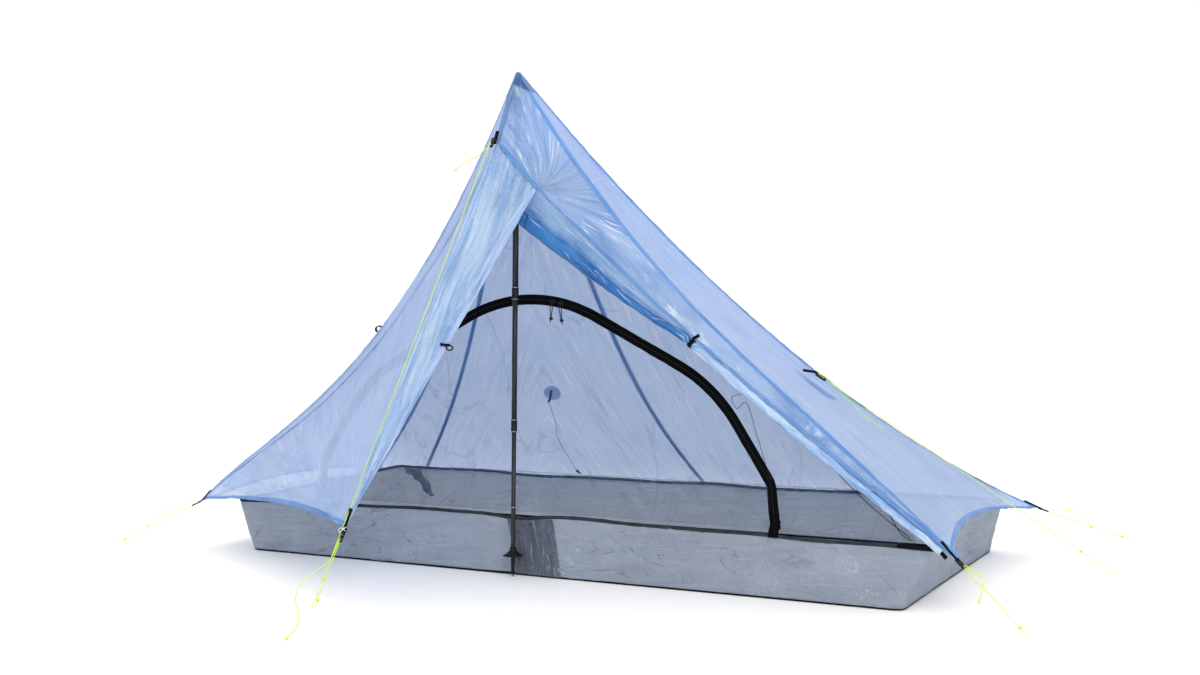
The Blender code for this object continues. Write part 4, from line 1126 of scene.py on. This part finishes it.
def build_tub():
    """The bathtub floor: one sheet over the ground and up the four walls."""
    shares = [0.0, 0.012, 0.04, 0.09, 0.16, 0.24, 0.33, 0.42, 0.51, 0.6, 0.69, 0.78, 0.87, 0.94, 0.985]
    walls = np.array([tub_loop(share) for share in shares])
    walls[:, :, 2] = np.maximum(walls[:, :, 2], 0.0008)
    level = np.array(shares)[:, None]
    arch = np.sin(math.pi * level) ** 0.7
    heights = 0.0045 * field(walls * np.array([1.0, 1.0, 0.35]), 0.3, 71)
    heights += 0.0022 * (1 - np.abs(field(walls, 0.11, 72))) + 0.0012 * field(walls, 0.045, 73)
    far_from_pole = 1 - np.exp(-(walls[..., 0] / 0.1) ** 2) * (walls[..., 1] < 0.2)
    walls = rippled(walls, heights * arch * far_from_pole, wrap=True)
    outline = walls[0]
    spine = np.stack([np.clip(outline[:, 0], -0.6, 0.75), np.full(len(outline), 0.47), outline[:, 2]],
                     axis=1)
    floor = np.array([outline * (1 - share) + spine * share for share in np.linspace(1.0, 0.04, 22)])
    floor[:, :, 2] = 0.0012 + 0.0009 * np.abs(field(floor, 0.16, 74))
    points = np.concatenate([floor, walls])
    nodes = ["floor_sheet", "tub_wall_back", "tub_wall_front", "tub_wall_left", "tub_wall_right"]
    grain = np.stack([points[..., 0] + points[..., 1], points[..., 2] - 0.06 * points[..., 0]],
                     axis=-1) * 0.8
    made("bathtub", points, "tub", stands_for=nodes, wrap=True, grain=grain)
    top, below = tub_loop(1.0), tub_loop(0.9)
    top[:, 2] += 0.0022 * field(top, 0.35, 75)
    nodes = ["tub_binding_back", "tub_binding_front", "tub_binding_left", "tub_binding_right"]
    edge_tape("tub_binding", looped(top), looped(below), 0.0085, "binding", stands_for=nodes,
              thickness=0.0015, wobble=0.0004)
    # A near-black seam tape round the tub's foot: a real seam that also stands as painted contact shadow
    # where the walls meet the ground
    low, up = tub_loop(0.0), tub_loop(0.05)
    low[:, 2] = 0.0016
    edge_tape("floor_seam", looped(low), looped(up), 0.006, "hem", wobble=0.0)


def build_pole_patch():
    """The dark doubled patch on the front wall by the pole, and the fold in the far corner, drawn in the
    same dark laminate as painted shade inside the fold.
    """
    def patch(u, v):
        height = 0.03 + 0.93 * u
        x = -0.006 - 0.038 * u + (0.16 - 0.004 * u) * v
        return tub_wall("front", front_share(x, 0), height) + vec(0, -0.0022, 0)
    points = sampled(patch, 26, 26)
    points[..., 1] -= 0.0022 * np.abs(field(points, 0.045, 81)) + 0.0008 * np.abs(field(points, 0.018, 82))
    made("pole_patch", points, "patch")

    def fold(u, v):
        t = 0.955 + 0.034 * v * (1 - 0.75 * u) - 0.014 * u + 0.003 * math.sin(9 * u)
        return tub_wall("back", t, 0.96 - 0.62 * u) + vec(0, -0.012 - 0.014 * math.sin(math.pi * v), 0)
    points = sampled(fold, 22, 14)
    # The fold's dark laminate is painted shade inside the fold
    made("corner_fold", rippled(points, 0.005 * field(points, 0.035, 83)), "patch")


def build_netting():
    """The front netting, in the frame's wall, and the arched door that drops inwards."""
    for side, name in ((1, "right"), (-1, "left")):
        outer_x = 1.205 if side > 0 else -1.07

        def surface(u, v):
            x, height = arch_point(side * u, 0.012)
            near = on_wall(x, max(height, 0.0) - 0.012 * (u > 0.999))
            far_x = ARCH_X + (outer_x - ARCH_X) * u ** 1.6
            far = on_wall(far_x, max(wall_top(far_x), 0.0) if u < 1 else -0.012)
            if u == 0:
                near.x = far.x
            return near.lerp(far, v)
        points = sampled(surface, 60, 24)
        inside = np.sin(math.pi * np.linspace(0, 1, 25))[None, :] ** 0.6
        waves = 0.004 * field(points, 0.22, 91 + side)
        waves += 0.0022 * (1 - np.abs(field(points, 0.09, 95 + side)))
        made("netting_" + name, rippled(points, waves * inside), "netting",
             stands_for=["mesh_front_" + name])

    def door(u, v):
        x, height = arch_point(DOOR_SHARE * (2 * u - 1), -0.01)
        return on_wall(x, max(height, 0.004)).lerp(on_wall(x, 0.0), v)
    points = sampled(door, 60, 30)
    inside = (np.sin(math.pi * np.linspace(0, 1, 31))
              * np.sin(math.pi * np.linspace(0, 1, 61))[:, None]) ** 0.5
    waves = 0.005 * field(points, 0.35, 98) + 0.002 * (1 - np.abs(field(points, 0.12, 99)))
    made("netting_door", rippled(points, waves * inside), "netting", "mesh_door", ["mesh_door"])
    for side, reach in (("left", vec(-0.03, 0.0, 0.01)), ("right", vec(0.006, 0.0, 0.02)),
                        ("back", vec(0.0, 0.01, 0.004))):
        points = sampled(lambda u, v: tub_edge(side, 0.1 + 0.8 * u) + vec(0, 0, 0.001) + reach * v, 60, 4)
        points = rippled(points, 0.0012 * field(points, 0.05, 101))
        made("skirt_" + side, points, "netting", stands_for=["mesh_skirt_" + side])


def wall_top(x):
    """The height on the wall of the canopy's front ridges above x."""
    name = "right_front" if x > PEAK.x else "left_front"
    t = abs(x - PEAK.x) / abs(RIDGES[name][0].x - PEAK.x)
    below = 0.016 + 0.045 * max(0.0, 1 - t / 0.12)
    return (min(ridge(name, t).z - below, 1.262) - WALL_FOOT.z) / math.cos(WALL_LEAN)


# Zip ----------------------------------------------------------------------------

COIL_STEPS = 1100


def arch_band(name, inner, outer, body, node, seed, reach=1.0):
    """A woven tape along the arch, between two distances from its line."""
    def surface(u, v):
        x, height = arch_point(reach * (2 * u - 1), inner + (outer - inner) * v)
        return on_wall(x, max(height, 0.0), 0.0004 + 0.0012 * math.sin(math.pi * v))
    points = sampled(surface, 220, 5)
    made(name, rippled(points, 0.0007 * field(points, 0.05, seed)), "tape", body, [node])


def coil_section(share):
    """A section that widens at every other step of the coil's path, as its turns do."""
    return oval(0.0024 + 0.0005 * math.sin(share * COIL_STEPS * math.pi / 2), 0.0015, 6)


def build_zip():
    """The zip round the arch: two woven tapes, the coil between them, two sliders and their pulls."""
    arch_band("zip_tape_outer", 0.0002, 0.015, "tent", "zip_tape_frame", 111)
    arch_band("zip_tape_inner", -0.015, -0.0002, "mesh_door", "zip_tape_door", 113, DOOR_SHARE)
    path = []
    for k in range(COIL_STEPS + 1):
        x, height = arch_point(0.99 * (2 * k / COIL_STEPS - 1))
        path.append(on_wall(x, max(height, 0.002), 0.0016))
    finish_piece(sweep("zip_coil", path, coil_section), "coil")
    for side, share in (("left", -1), ("right", 1)):
        x = arch_point(share)[0]
        rim = tub_edge("front", front_share(x, 1))
        foot = steps_from(rim, (0.001 * share, -0.001, 0.002), (0.001 * share, -0.0035, -0.008))
        strap("zip_foot_" + side, [on_wall(x, 0.024, 0.001)] + foot, 0.03, 0.0014, (1, 0, 0), "tape")
        build_slider(side, share)


def build_slider(side, lean):
    """A slider on the coil, its bridge, and the knotted cord that pulls it."""
    body, pull = "zip_slider_" + side, "zip_pull_" + side
    low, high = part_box(body)
    place = (low + high) / 2
    out = vec(0.0, -math.cos(WALL_LEAN), math.sin(WALL_LEAN))
    up = (place - Vector(JOINTS["zip_slide_" + side]["pos_m"])).normalized()
    ahead = up.cross(out).normalized()
    half = [(0.0085, 0.003), (0.006, 0.0052), (-0.002, 0.0052), (-0.0085, 0.003)]
    outline = half + [(x, -y) for x, y in reversed(half)]
    plate("slider_" + side, [outline], 0.0022, place + out * 0.0018, ahead, out, body, [body])
    plate("slider_base_" + side, [outline], 0.0016, place - out * 0.0022, ahead, out, body)
    bridge = [place + out * (0.0026 + y) + ahead * x
              for x, y in ((-0.005, 0.0), (-0.003, 0.002), (0.003, 0.002), (0.005, 0.0))]
    cord("slider_bridge_" + side, bridge, 0.0009, "plastic", body)
    top = Vector(JOINTS[pull + "_swing"]["pos_m"]) + out * 0.0006
    for name, nodes, points in (
            ("_first", [pull], [(-0.002, -0.001, -0.004), (-0.004, 0.0, -0.016),
                                (lean * 0.002 - 0.002, 0.001, -0.04), (lean * 0.003, 0.001, -0.05)]),
            ("_second", [], [(0.002, -0.001, -0.004), (0.004, -0.001, -0.018),
                             (lean * 0.002 + 0.002, 0.0, -0.038), (lean * 0.003, 0.001, -0.052)]),
            ("_tail", [], [(lean * 0.003, 0.001, -0.052), (lean * 0.006, 0.0, -0.062)])):
        cord(pull + name, steps_from(top, *points), PULL_CORD, "black_cord", pull, nodes, FINE_STEP)
        if name == "_second":
            knot(pull + "_knot", top + vec(lean * 0.003, 0.001, -0.05), (0, 0, 1), 0.0044, "black_cord",
                 pull)


# Pole ---------------------------------------------------------------------------

TUBE_TOP = 1.3345
SHUT = 0.0002  # the radius at which a turned end counts as closed


def build_pole():
    """The three-part pole: tubes, two locks, the grip, the basket and the tip."""
    for name, inner, outer, low, high, body in (
            ("upper", 0.008, 0.009, UPPER_LOCK, TUBE_TOP, "tent"),
            ("middle", 0.007, 0.0078, LOWER_LOCK, UPPER_LOCK + 0.1, "pole_middle"),
            ("lower", 0.0066, 0.0066, 0.096, LOWER_LOCK + 0.1, "pole_lower")):
        profile = [(inner, low), (outer, low), (outer, high), (SHUT, high)]
        turned("pole_" + name, profile[inner == outer:], "carbon", body, [f"pole_{name}_tube"])
    for name, height, radius, body in (("upper", UPPER_LOCK, 0.0106, "tent"),
                                       ("lower", LOWER_LOCK, 0.0094, "pole_middle")):
        low = height + 0.001
        high = low + 0.036
        waist = radius - 0.0007
        profile = [(radius - 0.0013, low), (radius, low + 0.0006), (radius, low + 0.004)]
        for k in range(9):
            z = low + 0.006 + k * 0.003
            profile += [(waist, z), (waist + 0.0003, z + 0.0008), (waist + 0.0003, z + 0.002),
                        (waist, z + 0.0028)]
        profile += [(radius, high - 0.003), (radius, high - 0.0006), (radius - 0.0013, high)]
        turned("lock_" + name, profile, "plastic", body, ["pole_lock_" + name])
        for at, tag in ((low - 0.0002, "low"), (high - 0.0016, "high")):
            ring = [(radius, at), (radius + 0.0005, at + 0.0002), (radius + 0.0005, at + 0.0014),
                    (radius, at + 0.0016)]
            turned(f"ring_{name}_{tag}", ring, "ring", body)
    turned("length_mark", [(0.0066, 0.203), (0.00675, 0.2031), (0.00675, 0.2046), (0.0066, 0.2047)],
           "ring", "pole_lower")
    grip = [(0.0085, 1.335), (0.012, 1.3365)]
    for k in range(14):
        z = 1.342 + k * 0.0066
        grip += [(0.0128, z), (0.0136, z + 0.0018), (0.0136, z + 0.0042), (0.0128, z + 0.0058)]
    grip += [(0.0135, 1.436), (0.01, 1.4425), (0.005, 1.4458), (SHUT, 1.446)]
    turned("grip", grip, "foam", stands_for=["pole_grip"])
    tip = [(0.003, 0.0062), (0.0046, 0.007), (0.0052, 0.009), (0.0054, 0.026), (0.0058, 0.027),
           (0.0058, 0.029), (0.0056, 0.03), (0.0063, 0.058), (0.0068, 0.0955), (0.0066, 0.0957)]
    turned("tip", tip, "plastic", "pole_lower", ["pole_tip"])
    turned("tip_point", [(SHUT, 0.0), (0.0024, 0.0), (0.0031, 0.0007), (0.0036, 0.011), (0.0035, 0.0118)],
           "ferrule", "pole_lower")
    basket = [(0.0072, 0.072), (0.012, 0.069), (0.022, 0.0625), (0.0288, 0.06), (0.029, 0.0615),
              (0.0286, 0.063), (0.021, 0.0665), (0.014, 0.073), (0.01, 0.0765), (0.0095, 0.078),
              (0.0101, 0.0792), (0.0101, 0.0838), (0.0093, 0.0855), (0.0075, 0.086)]
    turned("basket", basket, "plastic", "pole_lower", ["pole_basket"], sides=60, lobes=0.06)


# Lines and fittings --------------------------------------------------------------

def line_lock(name, place, direction, normal, body="tent", scale=1.0):
    """A cord tensioner: a moulded plate with two slots and a tapered nose."""
    half = [(0.017, 0.003), (0.015, 0.0052), (0.006, 0.0064), (-0.014, 0.0064), (-0.0166, 0.0048)]
    whole = half + [(-0.017, 0.0)] + [(x, -y) for x, y in reversed(half)]
    holes = [rounded(0.004 * scale, 0.009 * scale, 0.0016 * scale, x * scale)
             for x in (-0.0115, -0.0035, 0.0065)]
    plate("lock_" + name, [[(x * scale, y * scale) for x, y in whole]] + holes, 0.0044 * scale, place,
          direction, normal, body, ["adjuster_" + name])


def corner_set(name, corner, stake, tail, inside, body="tent", offset=0.026, normal=(0, 0, 1)):
    """A corner's webbing loop, its line lock, the cord with its knots, and the loose tail."""
    direction = (stake - corner).normalized()
    place = corner + direction * offset
    line_lock(name, place, direction, normal, body)
    across = direction.cross(Vector(normal)).normalized()
    strap("loop_" + name, [inside, corner + vec(0, 0, 0.002), place - direction * 0.012], 0.01, 0.0016,
          across, body=body)
    strap("tab_" + name, [inside + vec(0, 0, 0.002), corner + direction * 0.004 + vec(0, 0, 0.0045),
                          place - direction * 0.0085 + vec(0, 0, 0.0032)], 0.01, 0.0014, across, body=body)
    start = corner + direction * (offset + 0.022)
    path = tail[::-1] + [start + vec(0, 0, 0.009)]
    path += [start.lerp(stake, share) for share in (0.0, 0.5, 0.88, 1.0)]
    cord("line_" + name, path, GUYLINE, "lime", body, ["guyline_" + name])
    knot("line_knot_" + name, start.lerp(stake, 0.88), direction, 0.0036, "lime", body)
    knot("tail_knot_" + name, tail[-1], (tail[-1] - tail[-2]), 0.003, "lime", body)


def hanging_tail(start, stake, share, reach, side, fall):
    run = stake - start
    points = [start + run * share * k / 3 + vec(0, 0, 0.01 + 0.006 * k) for k in (1, 2, 3)]
    last = points[-1]
    points.append(last + run.normalized() * reach * 0.5 + side * 0.4 - vec(0, 0, fall * 0.3))
    points.append(last + run.normalized() * reach + side - vec(0, 0, fall))
    return points


def build_corners():
    for name, (corner, _, _) in RIDGES.items():
        stake = STAKES[name]
        side = {"left_front": vec(-0.01, -0.03, 0), "right_front": vec(-0.04, -0.01, 0),
                "right_back": vec(0.02, -0.03, 0), "left_back": vec(-0.02, 0.03, 0)}[name]
        start = corner + (stake - corner).normalized() * 0.048
        corner_set(name, corner, stake, hanging_tail(start, stake, 0.3, 0.05, side, 0.03),
                   ridge(name, 0.975) + vec(0, 0, 0.004))


def build_vestibule_lines():
    """The closed door's foot: its line and fittings, and the brow's line to the same stake."""
    stake = STAKES["vestibule"]
    direction = (stake - VESTIBULE).normalized()
    start = VESTIBULE + direction * 0.048
    tail = [start + vec(-0.024304, -0.012848, -0.045), vec(-0.288, -0.594, 0.078),
            vec(-0.282, -0.635, 0.04), vec(-0.245, -0.668, 0.005), vec(-0.166, -0.768, 0.004),
            vec(-0.106, -0.88, 0.004)]
    corner_set("vestibule", VESTIBULE, stake, tail, front_crease(0.955) + vec(0, -0.006, 0), "storm_door",
               normal=(0.2, -1, 0.2))
    wrap = VESTIBULE + direction * 0.01 + vec(0.004, -0.006, 0.0)
    strap("vestibule_tag", steps_from(wrap, (-0.01, 0, 0.002), (0, -0.004, 0), (0.012, 0, 0.006)), 0.007,
          0.0012, (0, 0, 1), body="storm_door")
    bit = steps_from(wrap, (0.01, -0.006, 0.002), (0.004, -0.012, 0.01), (-0.008, -0.01, 0.006),
                     (-0.004, -0.012, -0.002), (0.008, -0.01, 0.008), (0.012, -0.004, 0.012))
    cord("vestibule_white_cord", bit, 0.0011, "white_cord", "storm_door", step=FINE_STEP)
    high = BROW + vec(-0.004, -0.012, 0.0)
    down = vec(-0.2, -0.45, -1.0).normalized()
    line_lock("brow", high + vec(-0.002, -0.008, 0.0), down, (0, -1, 0), scale=0.9)
    tab = steps_from(BROW, (0.002, -0.002, 0.034), (-0.002, -0.008, 0.012)) + [high + down * 0.004]
    strap("brow_tab", tab, 0.012, 0.0018, (1, 0, 0))
    top = high + vec(-0.01, -0.022, -0.022)
    end = stake + vec(-0.004, -0.007, 0.0)
    tail = steps_from(top, (-0.012, -0.03, -0.018), (-0.042, -0.052, -0.034), (-0.068, -0.066, -0.058))
    path = tail[::-1] + [top + vec(-0.006, -0.004, 0.004)]
    path += [top.lerp(end, share) for share in (0.0, 0.02, 0.5, 0.94, 1.0)]
    cord("line_brow", path, GUYLINE, "lime", "storm_door", ["guyline_brow"])
    knot("line_knot_brow", top.lerp(end, 0.94), end - top, 0.0034, "lime", "storm_door")
    knot("tail_knot_brow", tail[-1], tail[-1] - tail[-2], 0.0028, "lime", "storm_door")


def build_tie_outs():
    """The right end's middle tie-out with its line, and the loop on the left end."""
    base = RIGHT_END(0.61, 0.74)
    tail = [RIGHT_END(u, v) + vec(0.01, 0.0, 0.02)
            for u, v in ((0.69, 0.72), (0.72, 0.68), (0.745, 0.66), (0.77, 0.65))]
    corner_set("right_middle", base + vec(0.014, 0.0, 0.022), STAKES["right_middle"], tail,
               base + vec(-0.02, -0.01, 0.03), offset=0.02, normal=(0.5, -0.5, 1))
    patch = sampled(lambda u, v: RIGHT_END(0.58 + 0.075 * u, 0.74 + (v - 0.5) * 0.1 * u), 12, 12)
    made("tie_out_patch", rippled(patch, np.full(patch.shape[:2], -0.0022)), "seam")
    loop = steps_from(LEFT_END(0.426, 0.93), (0.004, 0, 0.012), (-0.006, -0.004, 0.02),
                      (-0.018, -0.008, 0.02), (-0.023, -0.008, 0.01), (-0.016, -0.006, 0.003),
                      (-0.004, -0.002, 0.002), (0.006, 0, 0.002))
    strap("tie_out_left", loop, 0.008, 0.0018, (0.2, 1.0, 0.3), stands_for=["tie_out_loop_left"])


def build_door_fittings():
    """The closed door's toggle on its tab, and the tie round the rolled door."""
    pivot = Vector(JOINTS["door_toggle_swing"]["pos_m"])
    ring = [pivot + vec(0.0105 * math.cos(a), 0.0, -0.008 + 0.0066 * math.sin(a)) for a in turns(32, True)]
    finish_piece(sweep("toggle_ring", ring, round_section(0.0022, 10), caps=False), "plastic",
                 "door_toggle", ["door_toggle_loop"])
    tab = steps_from(door_edge(0.478), (-0.02, -0.006, 0.006), (0.0, -0.01, 0.004))
    strap("toggle_tab", tab + [pivot + vec(0.002, -0.002, 0.0)], 0.008, 0.0014, (0.2, 0, 1),
          body="storm_door")
    centre, down, side, height, depth = roll_section(ROLL_TIE_AT + 0.02)
    tall, deep = height * 0.86 + 0.001, depth * 0.86 + 0.001
    loop = [centre + down * tall * math.sin(a) + side * deep * math.cos(a) for a in turns(24, True)]
    strap("roll_tie", loop, 0.012, 0.0018, side.cross(down), stands_for=["roll_tie_strap"])
    toggle = centre - down * (height + 0.002) - vec(0, 0.012, 0)
    end = steps_from(toggle, (-0.004, 0.004, 0.0), (0.006, -0.004, 0.004), (0.022, -0.004, 0.012))
    strap("roll_tie_end", end, 0.01, 0.0018, (0, 0.3, 1))


def build_inner_cords():
    """The round patch on the back panel and its cord, and the loose cord by the arch."""
    top = BACK(0.62, 0.66) + vec(0.0, -0.03, -0.03)
    foot = vec(-0.285, FLOOR_BACK - 0.034, TUB_HEIGHT + 0.016)
    middle = top.lerp(foot, 0.45) + vec(0.0, -0.02, -0.02)
    cord("hold_up_cord", [top, top.lerp(middle, 0.5) + vec(0.006, 0, 0), middle, foot], THIN_CORD,
         "black_cord", stands_for=["tub_hold_up_cord"])
    knot("hold_up_knot", foot, (0, 0, 1), 0.0036, "black_cord")
    strap("hold_up_tab", steps_from(foot, (0, 0, 0.004), (0, 0.012, -0.006), (0, 0.026, -0.012)), 0.012,
          0.0016, (1, 0, 0))
    disc = [[tuple(BACK(0.62 + r * math.cos(a) / 1.55, 0.66 + r * math.sin(a) / 1.7)
                   + vec(0, -0.004, -0.004)) for a in turns(32)] for r in np.linspace(0.002, 0.036, 6)]
    made("hold_up_patch", disc, "pale_seam", wrap=True)
    strap("hold_up_strap", [BACK(0.61, 0.66) + vec(0, -0.008, -0.004), top + vec(0, 0.008, 0.006), top],
          0.01, 0.0016, (1, 0, 0))
    knot("hold_up_bead", top, (0, 0, 1), 0.0032, "black_cord")
    loop = [right_hem(0.52) + vec(0.0, 0.03, -0.036), vec(0.705, 0.018, 0.545), vec(0.722, 0.012, 0.515),
            vec(0.75, 0.014, 0.53), vec(0.775, 0.018, 0.45), vec(0.805, 0.022, 0.345),
            vec(0.812, 0.024, 0.33)]
    cord("arch_cord", loop, THIN_CORD, "black_cord", stands_for=["door_tie_cord"])
    knot("arch_cord_knot", loop[-1], (0, 0, 1), 0.0042, "black_cord")


def build_edge_cords():
    """The netting's taut outer edges, bound with thin black tape, and the tub's corner webbing."""
    for k, (start, end) in enumerate((((0.905, 0.444), (1.19, 0.196)), ((1.131, 0.262), (1.195, 0.19)))):
        bowed = []
        for share in np.linspace(0, 1, 9):
            x, z = (start[i] * (1 - share) + end[i] * share for i in (0, 1))
            bowed.append(on_wall(x, z - WALL_FOOT.z - 0.006 - 0.018 * math.sin(math.pi * share), 0.003))
        cord(f"netting_edge_right_{k}", bowed, 0.0011, "black_cord")
    left = [on_wall(x, wall_top(x) - 0.004, 0.003) for x in np.linspace(-0.25, -1.06, 24)]
    cord("netting_edge_left", left, 0.0014, "black_cord")
    corner = tub_corner("right_front", 1)
    path = [corner + vec(-0.1, -0.004, 0.004), corner + vec(0, -0.006, 0),
            RIGHT_FRONT.lerp(corner, 0.4) + vec(0, -0.004, -0.01)]
    strap("tub_strap", path, 0.011, 0.0018, (0, 0, 1))


# Stage --------------------------------------------------------------------------

def build_stage():
    tree = Tree("pale_floor")
    speck = tree.noise(tree.place("Object"), 3.0, 3.0)
    shade = tree.blend(speck, (0.985, 0.96, 0.922, 1.0), (0.99, 0.966, 0.928, 1.0))
    paint = tree.done(tree.put("BsdfPrincipled", Base_Color=shade, Roughness=0.9, Specular_IOR_Level=0.1))
    mesh = bpy.data.meshes.new("floor")
    size = 60.0
    mesh.from_pydata([(-size, -size, 0), (size, -size, 0), (size, size, 0), (-size, size, 0)], [],
                     [(0, 1, 2, 3)])
    mesh.materials.append(paint)
    link("floor", mesh)


def area_light(name, place, target, size, power):
    data = bpy.data.lights.new(name, "AREA")
    data.shape = "RECTANGLE"
    data.size, data.size_y = size
    data.energy = power
    lamp = link(name, data)
    lamp.location = place
    lamp.rotation_euler = (Vector(target) - Vector(place)).to_track_quat("-Z", "Y").to_euler()


def build_light():
    scene = bpy.context.scene
    world = bpy.data.worlds.new("studio")
    world.use_nodes = True
    world.node_tree.nodes["Background"].inputs["Color"].default_value = (1.0, 1.0, 1.0, 1.0)
    world.node_tree.nodes["Background"].inputs["Strength"].default_value = 1.09
    scene.world = world
    area_light("key", (-1.6, 2.2, 4.8), (0.1, 0.3, 0.4), (2.6, 2.0), 80)
    area_light("fill", (3.0, -2.9, 3.2), (0.1, 0.2, 0.4), (2.6, 2.0), 75)
    scene.view_settings.view_transform = "Standard"
    scene.view_settings.look = "None"


def build_camera():
    """A camera at the height of the eye, a little rolled, with a lens of about 45 mm."""
    yaw, pitch, roll = -0.505188, 0.047154, -0.020524
    forward = vec(math.sin(yaw) * math.cos(pitch), math.cos(yaw) * math.cos(pitch), -math.sin(pitch))
    right = vec(math.cos(yaw), -math.sin(yaw), 0.0)
    up = right.cross(forward)
    turned_right = right * math.cos(roll) + up * math.sin(roll)
    turned_up = up * math.cos(roll) - right * math.sin(roll)
    data = bpy.data.cameras.new("camera")
    data.sensor_width = 36.0
    data.lens = 45.2289
    camera = link("camera", data)
    camera.matrix_world = Matrix.Translation((2.367671, -3.720591, 0.906599)) @ Matrix(
        (turned_right, turned_up, -forward)).transposed().to_4x4()
    bpy.context.scene.camera = camera


for build in (build_canopy, build_seams, build_hems, build_cap, build_storm_door, build_roll, build_tub,
              build_pole_patch, build_netting, build_zip, build_pole, build_corners,
              build_vestibule_lines, build_tie_outs, build_door_fittings, build_inner_cords,
              build_edge_cords, build_stage, build_light, build_camera):
    build()
